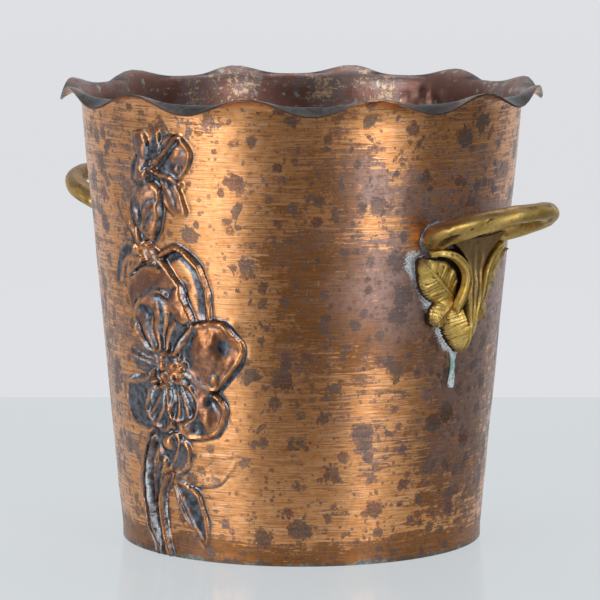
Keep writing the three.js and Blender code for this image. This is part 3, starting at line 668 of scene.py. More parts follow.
def wall_sheets():
    """Outer and inner points of wall and rim, with the numbers that the copper material reads."""
    angle = wall_angles()
    a, z = np.meshgrid(angle, np.linspace(0, NECK_HEIGHT, WALL_ROWS, endpoint=False), indexing="ij")
    layers = np.zeros((5, *a.shape))
    for middle in (np.pi / 2, 1.5 * np.pi):
        s = (a - middle) * wall_radius(z)
        near = np.abs(s[:, 0]) < SPRAY_HALF_WIDTH
        layers[:, near] = [spray_at(layer, s[near], z[near]) for layer in SPRAY_LAYERS]
    height, dark, ridge, powder, toned = layers
    place = on_wall(a * MEAN_RADIUS, z, 0)
    dents = lumps(place, 26, 3) * 0.3 + lumps(place, 11, 5) * 0.1
    dents = dents * smooth(z, 4, 20) * (1 - smooth(z, 185, NECK_HEIGHT))
    radius = wall_radius(np.maximum(z, 5)) + height + dents
    af, t = np.meshgrid(angle, np.linspace(0, 1, FLARE_ROWS), indexing="ij")
    flare_radius, flare_height = flare_profile(af, t)
    r = np.concatenate([radius, flare_radius], axis=1)
    h = np.concatenate([z, flare_height], axis=1)
    full = np.broadcast_to(angle[:, None], r.shape)
    pressed = crumpled(full, h)
    r = r + pressed
    outer = np.stack([r * np.cos(full), r * np.sin(full), h], axis=-1)
    along = np.gradient(np.stack([r, h], axis=-1), axis=1)
    along /= np.linalg.norm(along, axis=-1, keepdims=True)
    behind = np.concatenate([wall_radius(z) + 0.8 * hollow_behind(height), flare_radius], axis=1)
    inner_r = behind + pressed - along[..., 1] * SHEET
    inner_h = np.maximum(h + along[..., 0] * SHEET, 0)
    inner = np.stack([inner_r * np.cos(full), inner_r * np.sin(full), inner_h], axis=-1)
    plain = np.zeros(af.shape)
    trough = 0.5 - 0.5 * np.cos(SCALLOPS * af)
    masks = {
        "recess": np.concatenate([dark, plain], axis=1),
        "ridge": np.concatenate([ridge, plain], axis=1),
        "powder": np.concatenate([powder, plain], axis=1),
        "toned": np.concatenate([toned, plain], axis=1),
        "lip": np.concatenate([0 * z, smooth(t, 0.48, 0.6) * smooth(trough, 0.1, 0.6)], axis=1),
        "edge": np.concatenate([0 * z, smooth(t, 0.86, 1.0)], axis=1),
    }
    return outer, inner, masks


def stitched_wall():
    """Outer sheet with all its rows, inner sheet with every sixth row of the wall and all of the rim's,
    joined at rim and base."""
    outer, inner, masks = wall_sheets()
    columns, rows = outer.shape[:2]
    kept = np.unique(np.concatenate([np.arange(0, WALL_ROWS, INNER_ROW_STEP), np.arange(WALL_ROWS, rows)]))
    size = columns * rows
    outer_faces = grid_faces(columns, rows, wrap_rows=True)
    inner_faces = grid_faces(columns, len(kept), wrap_rows=True)[:, ::-1] + size
    number = np.arange(size).reshape(columns, rows)
    inner_number = size + np.arange(columns * len(kept)).reshape(columns, len(kept))
    turn = np.roll(np.arange(columns), -1)
    top = np.stack([number[:, -1], number[turn, -1], inner_number[turn, -1], inner_number[:, -1]], axis=-1)
    base = np.stack([number[turn, 0], number[:, 0], inner_number[:, 0], inner_number[turn, 0]], axis=-1)
    points = np.concatenate([outer.reshape(-1, 3), inner[:, kept].reshape(-1, 3)])
    masks = {name: np.concatenate([mask.ravel(), mask[:, kept].ravel()]) for name, mask in masks.items()}
    masks["inside"] = np.repeat([0.0, 1.0], [size, inner_number.size])
    for outer_only in ("recess", "ridge", "powder", "toned"):
        masks[outer_only] *= 1 - masks["inside"]
    masks["lip"] *= masks["inside"]
    return points, np.concatenate([outer_faces, inner_faces, top, base]), masks


# Where the wall is rubbed bright, and painted highlight where the side lights reflect: azimuth in degrees,
# height, radius, and strength below 0
RUBBED_AND_HIGHLIGHT = [(-72, 120, 30, -0.34), (-63, 175, 30, -0.34), (-65, 66, 26, -0.32), (-64, 30, 24, -0.25),
          (-40, 22, 24, -0.15), (-22, 198, 15, -0.34), (-29, 165, 8, -0.3), (-20, 70, 11, -0.26),
          (-18, 36, 15, -0.12), (-16, 152, 7, -0.2)]

# Where it has gone brown, and painted dark reflection where the wall faces the viewer, with strength above
# 0
BROWNED_AND_DARK_REFLECTION = [(-47, 128, 30, 0.34), (-40, 181, 14, 0.26), (-20, 172, 12, 0.34), (-18, 118, 26, 0.3),
           (-5, 190, 15, 0.08), (5, 163, 28, 0.14), (27, 130, 42, 0.3), (-30, 128, 26, 0.38),
           (-27, 190, 11, 0.26), (2, 95, 34, 0.26), (4, 36, 34, 0.3), (-46, 192, 16, 0.16),
           (-30, 180, 11, 0.3), (-52, 155, 20, 0.24), (-51, 84, 24, 0.16), (-54, 46, 10, 0.25)]

# Both, on the far side and the back
FAR_SIDE = [(150, 203, 15, -0.25), (110, 202, 12, -0.22), (128, 206, 9, -0.1), (-115, 100, 60, 0.12),
            (40, 100, 60, 0.15), (-100, 185, 18, 0.15)]

# Where the brown turns purple-grey
GREYED = [(-18, 148, 32, 0.7), (8, 160, 40, 0.75), (20, 90, 50, 0.6), (-30, 185, 18, 0.4),
          (-96, 170, 40, 0.6), (-104, 70, 50, 0.6), (-30, 60, 26, 0.3), (90, 110, 90, 0.5)]


def patches_on(points, start, patches):
    """The start value plus soft round patches: each adds its strength times a bell of the distance."""
    total = np.full(len(points), start)
    for azimuth, z, radius, strength in patches:
        middle = on_wall(0, z, 0, np.radians(azimuth))
        away = np.linalg.norm(points - middle, axis=1)
        total += strength * bell(away, radius)
    return np.clip(total, 0, 1)


wall_points, wall_faces, wall_masks = stitched_wall()
# These patches paint tarnish, and also painted highlight where the side lights reflect and painted dark
# reflection where the wall faces the viewer.
wall_masks["tarnish"] = patches_on(wall_points, 0.4, RUBBED_AND_HIGHLIGHT + BROWNED_AND_DARK_REFLECTION + FAR_SIDE)
wall_masks["greyed"] = patches_on(wall_points, 0.1, GREYED)
add_piece("copper_bucket", wall_points, wall_faces, ["copper_wall"], "copper", wall_masks, sharp=60)

# %% [markdown]
# ## The bottom
# A flat disc with its edge turned up inside the wall, and a bead of solder that closes the seam.
# Both are profiles carried once round the axis.

# %% Build the bottom plate and its solder bead
def turned_surface(profile, columns):
    """A profile of radius and height, carried round the axis. Where it starts or ends on the axis, its
    points fall together, and add_piece joins them."""
    angle = np.linspace(0, 2 * np.pi, columns, endpoint=False)[:, None]
    r, h = profile[None, :, 0], profile[None, :, 1]
    return np.stack(np.broadcast_arrays(r * np.cos(angle), r * np.sin(angle), h), axis=-1)


def seam_radius(z):
    """Inside of the wall less the clearance."""
    return wall_radius(z) - SHEET - GAP


PLATE_PROFILE = np.array([
    (0, 0), (28, 0), (56, 0), (80, 0), (84.4, 0), (seam_radius(0), 0.5), (seam_radius(3.5), 3.5),
    (seam_radius(6.6), 6.6), (seam_radius(7) - 0.6, 7), (seam_radius(6.6) - 1.2, 6.6),
    (seam_radius(3.5) - 1.2, 3.5), (seam_radius(1.8) - 1.4, 1.9), (seam_radius(1.2) - 2.4, 1.2),
    (80, 1.2), (56, 1.2), (28, 1.2), (0, 1.2),
])
PLATE_COLUMNS = 120
plate = turned_surface(PLATE_PROFILE, PLATE_COLUMNS)
plate_masks = {"inside": np.ones(plate.shape[:2]), "tarnish": np.full(plate.shape[:2], 0.5)}
add_piece("bottom_disc", plate, grid_faces(*plate.shape[:2], True), ["bottom_plate"], "copper", plate_masks,
          sharp=40, close_poles=True)

BEAD = [(seam_radius(7.3), 7.3), (seam_radius(8.8), 8.8), (seam_radius(10.3), 10.3),
        (seam_radius(9.2) - 1.1, 9.2), (seam_radius(8.2) - 1.9, 8.2), (seam_radius(7.4) - 2.7, 7.4)]
BEAD_COLUMNS = 160
bead = turned_surface(curve_through(BEAD, 3, closed=True), BEAD_COLUMNS)
bead = bead + lumps(bead, 2.5, 5)[..., None] * np.array([0, 0, 0.12])
add_piece("bottom_seam_solder", bead, grid_faces(*bead.shape[:2], True, True), ["bottom_solder"],
          "soft_solder")

# %% [markdown]
# ## The ring handles
# Each ring is an open loop of cast brass, round at its tip and thicker towards the wall, that tips up
# away from the bucket. Its section is an ellipse with soft ridges, carried along the loop.

# %% Build the rings
RING_CENTRE = np.array([wall_radius(RING_HEIGHT) + RING_STANDOFF, 0.0, RING_HEIGHT])
RING_OUTWARD = np.array([np.cos(RING_TILT), 0.0, np.sin(RING_TILT)])
RING_ACROSS = np.array([0.0, 1.0, 0.0])
RING_NORMAL = np.cross(RING_OUTWARD, RING_ACROSS)


def ring_place(turn, radius, lift):
    """A point of the ring's tilted plane at this turn from its tip, raised along the plane's normal."""
    flat = RING_OUTWARD * np.cos(turn)[..., None] + RING_ACROSS * np.sin(turn)[..., None]
    return RING_CENTRE + flat * np.asarray(radius)[..., None] + RING_NORMAL * np.asarray(lift)[..., None]


# Height and width of the ring's section, each at its tip and at its ends
RING_SECTION = ((8.4, 13.5), (9.2, 12.4))
RING_HALF_TURN = 150

# Leaf shapes on the ring: degrees from its tip, half length in degrees, slant, rise
RING_LEAVES = ((112, 32, 0.4, 0.6), (80, 31, -0.25, 0.55))


def ring_surface(steps=170, sides=40):
    """The ring's closed surface. Its elliptical section grows towards the ends, two long leaf shapes
    and three ridges twisted round it stand on it, its upper side is worn smooth, and where it meets the
    wall it is pressed flat just outside it. The masks are how worn and how deep each place is."""
    half_turn = np.radians(RING_HALF_TURN)
    turn = np.linspace(-half_turn, half_turn, steps)[:, None]
    around = np.linspace(-np.pi, np.pi, sides, endpoint=False)[None, :]
    share = np.abs(turn / half_turn) ** 1.3
    tall, wide = (0.5 * (tip + (end - tip) * share) for tip, end in RING_SECTION)
    swept = np.abs(np.degrees(turn))
    relief = np.zeros(np.broadcast_shapes(turn.shape, around.shape))
    for middle, reach, tilt, size in RING_LEAVES:
        place = (swept - middle) / reach
        across = (around - tilt * (0.2 + 0.7 * place)) / 0.55
        leaf = 1 - place**2 - across**2
        relief = relief + size * smooth(leaf, 0, 0.3) - 0.3 * bell(leaf, 0.09)
    twist = np.cos(3 * around + 3.4 * np.abs(turn)) * smooth(swept, 5, 30) * (1 - smooth(swept, 120, 148))
    relief = relief + 0.38 * twist
    band = lumps_at(turn * RING_RADIUS, around * 2, 0, 5, 33)
    worn = smooth(np.sin(around) + 0.2 * band, 0.02, 0.4)
    relief = relief * (1 - 0.7 * worn) - 0.35 * worn
    relief = relief + 0.25 * lumps_at(turn * RING_RADIUS, around * 5, share * 3, 6, 31)
    groove = np.clip(0.6 * smooth(swept, 112, 146) - 0.9 * relief, 0, 1) * (1 - worn)
    spread = (wide + relief) * np.cos(around)
    lift = (tall + relief) * np.sin(around)
    points = ring_place(turn + 0 * lift, RING_RADIUS + spread, lift)
    reach = np.hypot(points[..., 0], points[..., 1])
    outside = np.maximum((wall_radius(points[..., 2]) + GAP) / reach, 1)
    points[..., :2] *= outside[..., None]
    ends = [np.broadcast_to(points[row].mean(0), points[row].shape)[None] for row in (0, -1)]
    points = np.concatenate([ends[0], points, ends[1]])
    masks = {"worn": np.maximum(worn, 0.3), "recess": groove}
    masks = {name: np.concatenate([mask[:1], mask, mask[-1:]]) for name, mask in masks.items()}
    return points, grid_faces(steps + 2, sides, wrap_columns=True), masks


RING = ring_surface()
print("ring:", RING[0].shape[:2], "points")

# %% [markdown]
# ## The leafy brackets
# Each bracket is one casting: five leaf lobes lie on the wall, a stalk rises from the lowest and opens
# into a web that carries the ring, and an arm bends outwards on each side of it. A lobe is a closed
# sheet over its outline on the wall, with its keel, its veins and its curled tip as heights.

# %% Leaf lobes and stalk
SOLE = GAP + 0.7 + GAP
LOBE_EDGE = 2.8
CARRY_AT = 110
CARRY = ring_place(np.radians(CARRY_AT), RING_RADIUS, 0.0)


def closed_sheet(outer, inner):
    """Points and faces of the slab between two grids."""
    return np.concatenate([outer.reshape(-1, 3), inner.reshape(-1, 3)]), sheet_faces(*outer.shape[:2])


def together(*shells):
    """Several closed surfaces as one list of points and one list of faces."""
    starts = np.cumsum([0] + [len(points) for points, _ in shells[:-1]])
    faces = np.concatenate([part + start for start, (_, part) in zip(starts, shells)])
    return np.concatenate([points for points, _ in shells]), faces


def blunt_arch(t, cut):
    """A sine arch from 0 to 1 with a share cut off at each end."""
    return np.sin(np.pi * (cut + (1 - 2 * cut) * t))


def lobe(start, end, width, rise, outline, vein_gap, fold=0.0, curl=0.0, side=1, rows=72, columns=44):
    """A leaf lobe: half width from an outline of shares, keel (1-|v|)^0.8, side veins as fine cut lines
    that slope towards the tip, a fold that lifts its upper half, and a tip that curls by t^7."""
    t = np.linspace(0, 1, rows)[:, None]
    v = np.linspace(-1, 1, columns)[None, :]
    aside = np.abs(v)
    start, end = np.array(start) * [side, 1], np.array(end) * [side, 1]
    length = np.hypot(*(end - start))
    along = (end - start) / length
    shares = curve_through(np.stack([np.linspace(0, 1, len(outline)), outline], axis=-1))
    half = 0.5 * width * np.interp(t, shares[:, 0], shares[:, 1])
    uneven = lumps_at(t * length, 9 * side, 0, 3.0, 40)
    vein = t * length / vein_gap - (2.7 - 1.2 * t) * aside + 0.6 * uneven
    off = np.abs(vein - np.round(vein))
    half = half * (1 - 0.06 * bell(off, 0.16) * smooth(aside, 0.8, 1.0))
    arc = start[0] + (end - start)[0] * t - along[1] * half * v
    z = start[1] + (end - start)[1] * t + along[0] * half * v
    keel = (1 - aside) ** 0.8 * blunt_arch(t, 0.12)
    cut = bell(off, 0.12) * smooth(aside, 0.05, 0.2) * smooth(t, 0.02, 0.15)
    cut = cut * np.clip(0.6 + 0.6 * uneven, 0.1, 1)
    rib = bell(v, 0.06) * (1 - 0.6 * t)
    wave = np.sin(2 * np.pi * (vein / 3 + 0.1 * side))
    upper = np.clip(side * v, 0, 1)
    bent = fold * upper * np.sin(np.pi * t) + curl * t**7
    lift = rise * keel + 0.35 * rib - 0.3 * cut + bent
    lift = lift + 0.35 * wave * aside + 0.35 * lumps_at(arc, z, 0, 4.0, 8)
    edge = LOBE_EDGE - 1.1 * smooth(aside, 0.8, 1.0)
    beside_rib = bell(aside - 0.1, 0.05)
    # depth darkens the cut veins and the groove beside the midrib with grime, and the rims partly with
    # crust and partly with painted shade.
    depth = 0.6 * cut + 0.5 * smooth(aside, 0.92, 1.0) + 0.3 * beside_rib
    shell = closed_sheet(on_wall(arc, z, SOLE + edge + lift), on_wall(arc, z, SOLE + 0.6 * bent))
    # worn browns the rims, partly as painted shade, and the curled tip.
    worn = np.maximum(0.7 * smooth(aside, 0.78, 0.98), 0.9 * smooth(t, 0.84, 0.96))
    # The underside gets full depth: painted shade, which shows as a dark line under the lobe's edges.
    return shell, np.append(depth, np.ones(depth.size)), np.append(worn, np.zeros(worn.size))


def carried_section(path, thickness, steps=10, sides=20):
    """An oval section carried along a smooth line through (x, y, z, scale) points, square to the line;
    both ends are drawn in to a point."""
    line = curve_through(path, steps)
    middle, scale = line[:, None, :3], line[:, None, 3:]
    along = np.gradient(line[:, :3], axis=0)
    along /= np.linalg.norm(along, axis=1, keepdims=True)
    across = np.cross(along, [1.0, 0.0, 0.0])
    across /= np.linalg.norm(across, axis=1, keepdims=True)
    out = np.cross(across, along)
    turn = np.linspace(0, 2 * np.pi, sides, endpoint=False)[None, :, None]
    groove = 1 - 0.12 * np.cos(4 * turn)
    end = np.ones(len(line))
    end[[0, -1]] = 0
    section = thickness[0] * np.cos(turn) * across[:, None] + thickness[1] * np.sin(turn) * out[:, None]
    points = middle + 0.5 * scale * groove * end[:, None, None] * section
    depth = 0.3 * np.clip(0.9 - 1.1 * (1 - np.abs(np.cos(2 * turn[..., 0]))), 0, 1)
    depth = depth * np.ones((len(line), 1))
    shell = points.reshape(-1, 3), grid_faces(len(line), sides, wrap_columns=True)
    return shell, depth.ravel(), np.zeros(depth.size)


# The stalk: its foot below the ring's centre and off the wall, its back inside the ring's line where it
# carries the ring, how deep it is at its foot and at the ring, its half width, and its sag
STALK_DROP = 47
STALK_STANDOFF = 2
STALK_INSET = 1.7
STALK_FOOT_DEPTH = 9.5
STALK_TOP_DEPTH = 3.4
STALK_HALF_WIDTH = 2.7
STALK_SAG = 3.5


def stalk(rows=90, columns=48):
    """The stalk's front and back: its half width opens as t^4.5, its reach goes from foot to ring as
    t^0.6, its middle sags, and ridges run up its lower part."""
    t = np.linspace(0, 1, rows)[:, None]
    v = np.sin(np.linspace(-0.5, 0.5, columns) * np.pi)[None, :]
    foot = RING_HEIGHT - STALK_DROP
    back_foot = wall_radius(foot) + STALK_STANDOFF
    back_top = CARRY[0] - STALK_INSET
    front_foot = back_foot + STALK_FOOT_DEPTH
    front_top = back_top + STALK_TOP_DEPTH
    half = STALK_HALF_WIDTH + (CARRY[1] - STALK_HALF_WIDTH) * t**4.5
    half = half + 2.6 * bell(t - 0.32, 0.16)
    z = foot + (CARRY[2] - foot) * t - STALK_SAG * t * (1 - v**2)
    opened = smooth(t, 0.45, 0.9)
    ridges = np.cos(3 * np.pi * v + 0.6 * np.sin(6 * t))
    uneven = lumps_at(half * v, 0, 0.35 * z, 2.4, 44)
    relief = (1 - opened) * (0.35 * ridges - 0.2) - 0.9 * opened + 0.35 * uneven
    front = front_foot + (front_top - front_foot) * t**0.6 + relief
    back = back_foot + (back_top - back_foot) * t**0.6 + 0 * relief
    grids = [np.stack(np.broadcast_arrays(r, -v * half, z), axis=-1) for r in (front, back)]
    depth = 0.35 * (1 - opened) * smooth(-ridges, 0, 1) + 0.1 * opened + 0 * z
    # worn browns the web, partly as painted shade under the ring.
    worn = 0.75 * smooth(t, 0.12, 0.35) + 0.2 * opened + 0 * z
    # The back, facing the wall, gets full depth: painted shade.
    return closed_sheet(*grids), np.append(depth, np.ones(depth.size)), np.append(worn, np.zeros(worn.size))


LOWER_OUTLINE = [0.7, 0.92, 1.0, 1.0, 0.93, 0.8, 0.62, 0.38, 0.08]
SIDE_OUTLINE = [0.25, 0.7, 0.95, 1.0, 0.98, 0.78, 0.2]
UPPER_OUTLINE = [0.2, 0.62, 0.92, 1.0, 0.95, 0.72, 0.42, 0.1]
ARM = [(102.5, 5.6, 116.5, 0.6), (104.6, 6.8, 120.5, 1), (107.6, 6.8, 126, 1.1), (109.4, 6.2, 131.5, 1.1),
       (110.2, 7, 137, 1.1), (110, 10.4, 142, 1.1), (108.8, 15.8, 145.8, 1.1), (106, 21.6, 147.2, 1.1),
       (103.4, 25.6, 146.6, 0.9)]


def bracket():
    """All parts of one bracket, with how dark each place is from grime and painted shade, and how worn."""
    parts = [lobe((0, 121.5), (0, LEAF_TIP), 24, 7.8, LOWER_OUTLINE, 1.9), stalk()]
    for side in (-1, 1):
        parts.append(lobe((5, 125), (18, 112.5), 13.5, 2.2, SIDE_OUTLINE, 1.9, side=side,
                          rows=44, columns=32))
        parts.append(lobe((6, 123.5), (29, 144.5), 18.5, 2.6, UPPER_OUTLINE, 2.1, side=side,
                          fold=3.2, curl=3.4))
        arm = np.array(ARM) * [1, side, 1, 1]
        (points, faces), depth, worn = carried_section(arm, (3.3, 4.8))
        parts.append(((points, faces if side < 0 else faces[:, ::-1]), depth, worn))
    shells, depths, worn = zip(*parts)
    points, faces = together(*shells)
    return points, faces, {"recess": np.concatenate(depths), "worn": np.concatenate(worn)}


BRACKET = bracket()
print("bracket:", len(BRACKET[0]), "points")

# %% [markdown]
# ## The solder
# Soft solder has crept out round the leaves and run down below them, and there is a mound of it
# round each end of the ring. Both lie on the wall as thin closed sheets with a lumpy upper side.

# %% Solder bed and mounds
BED_OUTLINE = [(1.2, 81), (1.9, 82.5), (1.7, 85), (1.1, 89), (1.0, 93), (2.6, 98), (8.5, 106),
               (12.7, 113.5), (20.4, 125.6), (26.4, 136), (28.6, 141.5), (27, 145.4), (19, 147.5)]


def solder_bed(rows=130, columns=44):
    """A film from the drip's end to the upper leaves: half width along the outline, made uneven by
    noise, and thickness that falls to its edges. The mask paints shade on it where the bracket hides it."""
    line = curve_through(BED_OUTLINE)
    z = np.linspace(BED_OUTLINE[0][1], BED_OUTLINE[-1][1], rows)[:, None]
    v = np.linspace(-1, 1, columns)[None, :]
    half = np.interp(z, line[:, 1], line[:, 0])
    ragged = lumps_at(20 * np.sign(v), 0, z, 3.0, 12)
    arc = -v * (half + 1.2 * ragged * smooth(z, 97, 106))
    z = z + 0 * arc
    thick = 0.7 + 0.9 * smooth(np.abs(v), 0.5, 0.9) * (1 - smooth(np.abs(v), 0.9, 1.0))
    drip = 1 - smooth(z, 95, 99)
    thick = thick * (1 - drip) + drip * (0.3 + 1.5 * np.sqrt(np.clip(1 - v**2, 0, 1)))
    thick = thick * (1 + 0.35 * lumps_at(arc, z, 0, 2.4, 4))
    # Painted shade on the film where the bracket hides it.
    shade_under_bracket = (1 - smooth(np.abs(v), 0.6, 0.86)) * smooth(z, 100, 106)
    masks = {"recess": np.append(shade_under_bracket, 0 * z)}
    return *closed_sheet(on_wall(arc, z, GAP + thick), on_wall(arc, z, GAP)), masks


MOUND_AT = 141.6
MOUND_RADIUS = 9.2


def solder_mound(side, rows=30, columns=30):
    """A low dome on the wall round one ring end: height (1 - v squared) times a blunt arch."""
    seat = ring_place(np.radians(MOUND_AT) * side, RING_RADIUS, 0.0)
    arc_at = wall_radius(seat[2]) * np.arctan2(seat[1], seat[0])
    t = np.linspace(0, 1, rows)[:, None]
    v = np.linspace(-1, 1, columns)[None, :]
    turn = np.pi * 0.44 * (1 - 2 * t)
    radius = MOUND_RADIUS + 0.7 * lumps_at(v, t * 8, 3 * side, 1.0, 14)
    arc = arc_at + radius * v * np.cos(turn)
    z = seat[2] + radius * np.sin(turn)
    dome = 0.5 + 2.2 * blunt_arch(t, 0.06) * (1 - v**2)
    dome = dome * (1 + 0.3 * lumps_at(arc, z, 0, 3, 6))
    return *closed_sheet(on_wall(arc, z, GAP + dome), on_wall(arc, z, GAP)), {}


SOLDER_FILM = solder_bed()
SOLDER_MOUNDS = {end: solder_mound(end) for end in (-1, 1)}
print("solder film:", len(SOLDER_FILM[0]), "points, and each mound:", len(SOLDER_MOUNDS[1][0]), "points")

# %% [markdown]
# ## Both handles
# The left handle is the right one turned half round the axis, so its front mound is the right's back.

# %% Place the handles
def add_handle(side, place, ends):
    """One ring, one bracket and their solder, each put in its place by the function place."""
    made = [
        ("ring_handle", "ring", "cast_brass", RING, {"close_poles": True}),
        ("leaf_bracket", "bracket", "cast_brass", BRACKET, {"close_poles": True, "sharp": 50}),
        ("solder_film", "bracket_solder", "soft_solder", SOLDER_FILM, {}),
    ]
    for word, end in ends.items():
        mound = SOLDER_MOUNDS[end]
        made.append((f"solder_mound_{word}", f"ring_solder_{word}", "soft_solder", mound, {}))
    for name, solid, slot, (points, faces, masks), settings in made:
        add_piece(f"{side}_{name}", place(points), faces, [f"{side}_{solid}"], slot, masks, **settings)


add_handle("right", lambda points: points, {"front": -1, "back": 1})
add_handle("left", half_turned, {"front": 1, "back": -1})
print("pieces on both handles:", len(made_pieces) - 3)

# %% [markdown]
# ## Tools for the finishes
# Materials are built from a few small helpers: one that adds a node and links or sets its sockets,
# and short ones for the sums, ramps and noises used again and again. Distances are in millimetres.

# %% Node helpers
def plug(tree, node, sockets):
    """Links or sets sockets given by name or number. A colour of three numbers is made opaque."""
    for name, value in dict(sockets).items():
        socket = node.inputs[name]
        if isinstance(value, bpy.types.NodeSocket):
            tree.links.new(value, socket)
        else:
            socket.default_value = (*value, 1) if socket.type == "RGBA" else value


def add_node(tree, kind, sockets=(), **settings):
    """Adds a node, sets its settings, then its sockets."""
    node = tree.nodes.new(kind)
    for setting, value in settings.items():
        setattr(node, setting, value)
    plug(tree, node, sockets)
    return node


def maths(tree, operation, *values, clamp=False):
    """One sum on numbers."""
    node = add_node(tree, "ShaderNodeMath", enumerate(values), operation=operation, use_clamp=clamp)
    return node.outputs[0]


def times(tree, total, *others):
    """The product of several numbers."""
    for other in others:
        total = maths(tree, "MULTIPLY", total, other)
    return total


def most(tree, total, *others):
    """The largest of several numbers."""
    for other in others:
        total = maths(tree, "MAXIMUM", total, other)
    return total


def added(tree, *weighted):
    """The sum of values, each times its weight."""
    total = maths(tree, "MULTIPLY", *weighted[0])
    for value, weight in weighted[1:]:
        total = maths(tree, "MULTIPLY_ADD", value, weight, total)
    return total


def ramp(tree, value, low, high, to_low=0.0, to_high=1.0):
    """Goes smoothly from to_low at low to to_high at high."""
    sockets = {"Value": value, "From Min": low, "From Max": high, "To Min": to_low, "To Max": to_high}
    return add_node(tree, "ShaderNodeMapRange", sockets, interpolation_type="SMOOTHSTEP").outputs["Result"]


def mixed(tree, share, first, second):
    """The first colour, turning into the second as share goes from 0 to 1."""
    sockets = {"Factor": share, 6: first, 7: second}
    return add_node(tree, "ShaderNodeMix", sockets, data_type="RGBA").outputs[2]


def noise(tree, place, size, detail=4.0, roughness=0.6, distortion=0.0):
    """Cloudy noise from 0 to 1 with lumps of this size in millimetres."""
    sockets = {"Vector": place, "Scale": 1 / size, "Detail": detail, "Roughness": roughness,
               "Distortion": distortion}
    return add_node(tree, "ShaderNodeTexNoise", sockets).outputs["Fac"]


def bumped(tree, strength, height):
    """The surface's direction, tipped by a height in millimetres."""
    sockets = {"Strength": strength, "Distance": MM, "Height": height}
    return add_node(tree, "ShaderNodeBump", sockets).outputs[0]


def attribute(tree, name):
    """A number stored on the points of the mesh."""
    return add_node(tree, "ShaderNodeAttribute", attribute_name=name).outputs["Fac"]


def new_material(name):
    """An empty material with a Principled surface; gives its tree, surface and place in millimetres."""
    material = bpy.data.materials.new(name)
    material.use_nodes = True
    tree = material.node_tree
    tree.nodes.clear()
    surface = add_node(tree, "ShaderNodeBsdfPrincipled")
    add_node(tree, "ShaderNodeOutputMaterial", {"Surface": surface.outputs[0]})
    metres = add_node(tree, "ShaderNodeTexCoord").outputs["Object"]
    sockets = {0: metres, "Scale": 1 / MM}
    place = add_node(tree, "ShaderNodeVectorMath", sockets, operation="SCALE").outputs[0]
    return material, tree, surface, place

# %% [markdown]
# ## Effects that several finishes share
# Round tarnish spots, rubbed lines and a pale green crust are each one node group, placed in every
# material that needs them with its own numbers.

# %% Shared effects
def new_group(name, numbers, result, kind):
    """An empty node group that takes a place and some numbers and gives one result; gives the tree, its
    inputs' sockets and its output node."""
    tree = bpy.data.node_groups.new(name, "ShaderNodeTree")
    tree.interface.new_socket("Place", in_out="INPUT", socket_type="NodeSocketVector")
    for label in numbers:
        tree.interface.new_socket(label, in_out="INPUT", socket_type="NodeSocketFloat")
    tree.interface.new_socket(result, in_out="OUTPUT", socket_type=kind)
    return tree, tree.nodes.new("NodeGroupInput").outputs, tree.nodes.new("NodeGroupOutput")


def build_spots():
    """Round spots: in each Voronoi cell a random number sets the spot's radius, and noise added to the
    distance makes its edge ragged; cloudy noise three cells wide gathers the spots in clusters."""
    tree, given, out = new_group("round_spots", ("Size", "Share"), "Mask", "NodeSocketFloat")
    per_size = maths(tree, "DIVIDE", 1.0, given["Size"])
    sockets = {0: given["Place"], "Scale": per_size}
    place = add_node(tree, "ShaderNodeVectorMath", sockets, operation="SCALE").outputs[0]
    wobble = add_node(tree, "ShaderNodeTexNoise", {"Vector": place, "Scale": 2.0, "Detail": 2.0})
    sockets = {"Factor": 0.34, 4: place, 5: wobble.outputs["Color"]}
    bent = add_node(tree, "ShaderNodeMix", sockets, data_type="VECTOR").outputs[1]
    cells = add_node(tree, "ShaderNodeTexVoronoi", {"Vector": bent, "Scale": 1.0})
    chance = add_node(tree, "ShaderNodeSeparateColor", {0: cells.outputs["Color"]})
    crowd = add_node(tree, "ShaderNodeTexNoise", {"Vector": place, "Scale": 0.33, "Detail": 1.0})
    share = times(tree, given["Share"], ramp(tree, crowd.outputs["Fac"], 0.38, 0.58, 0.3, 1.5))
    there = maths(tree, "LESS_THAN", chance.outputs["Green"], share)
    radius = ramp(tree, chance.outputs["Red"], 0.0, 1.0, 0.16, 0.5)
    sockets = {"Vector": place, "Scale": 4.5, "Detail": 5.0, "Roughness": 0.7}
    ragged = add_node(tree, "ShaderNodeTexNoise", sockets)
    away = maths(tree, "DIVIDE", cells.outputs["Distance"], radius)
    away = maths(tree, "MULTIPLY_ADD", ragged.outputs["Fac"], 1.9, away)
    plug(tree, out, {"Mask": times(tree, ramp(tree, away, 1.98, 1.72), there)})
    return tree


def build_lines():
    """Fine lines round the bucket: noise squeezed in height and drawn out along x and y."""
    tree, given, out = new_group("rubbed_lines", ("Length", "Height"), "Value", "NodeSocketFloat")
    parts = add_node(tree, "ShaderNodeSeparateXYZ", {0: given["Place"]})
    squeezed = [maths(tree, "DIVIDE", parts.outputs[axis], given[reach])
                for axis, reach in (("X", "Length"), ("Y", "Length"), ("Z", "Height"))]
    place = add_node(tree, "ShaderNodeCombineXYZ", enumerate(squeezed)).outputs[0]
    plug(tree, out, {"Value": noise(tree, place, 1.0, 4.0, 0.65)})
    return tree


def build_crust():
    """The colour of a deposit: chalky white with pale blue-green patches and grey specks."""
    tree, given, out = new_group("pale_crust", ("Green",), "Color", "NodeSocketColor")
    patches = noise(tree, given["Place"], 5.0, 5.0)
    grain = noise(tree, given["Place"], 0.9, 5.0, 0.7)
    greener = added(tree, (patches, 1.0), (given["Green"], 0.25))
    colour = mixed(tree, ramp(tree, greener, 0.60, 0.78), (0.76, 0.82, 0.86), (0.36, 0.62, 0.56))
    plug(tree, out, {"Color": mixed(tree, ramp(tree, grain, 0.50, 0.66), colour, (0.20, 0.22, 0.25))})
    return tree


SPOTS, LINES, CRUST = build_spots(), build_lines(), build_crust()


def placed(tree, group, **sockets):
    """The result of a shared effect, placed in a material."""
    return add_node(tree, "ShaderNodeGroup", sockets, node_tree=group).outputs[0]


print("shared effects:", [group.name for group in (SPOTS, LINES, CRUST)])
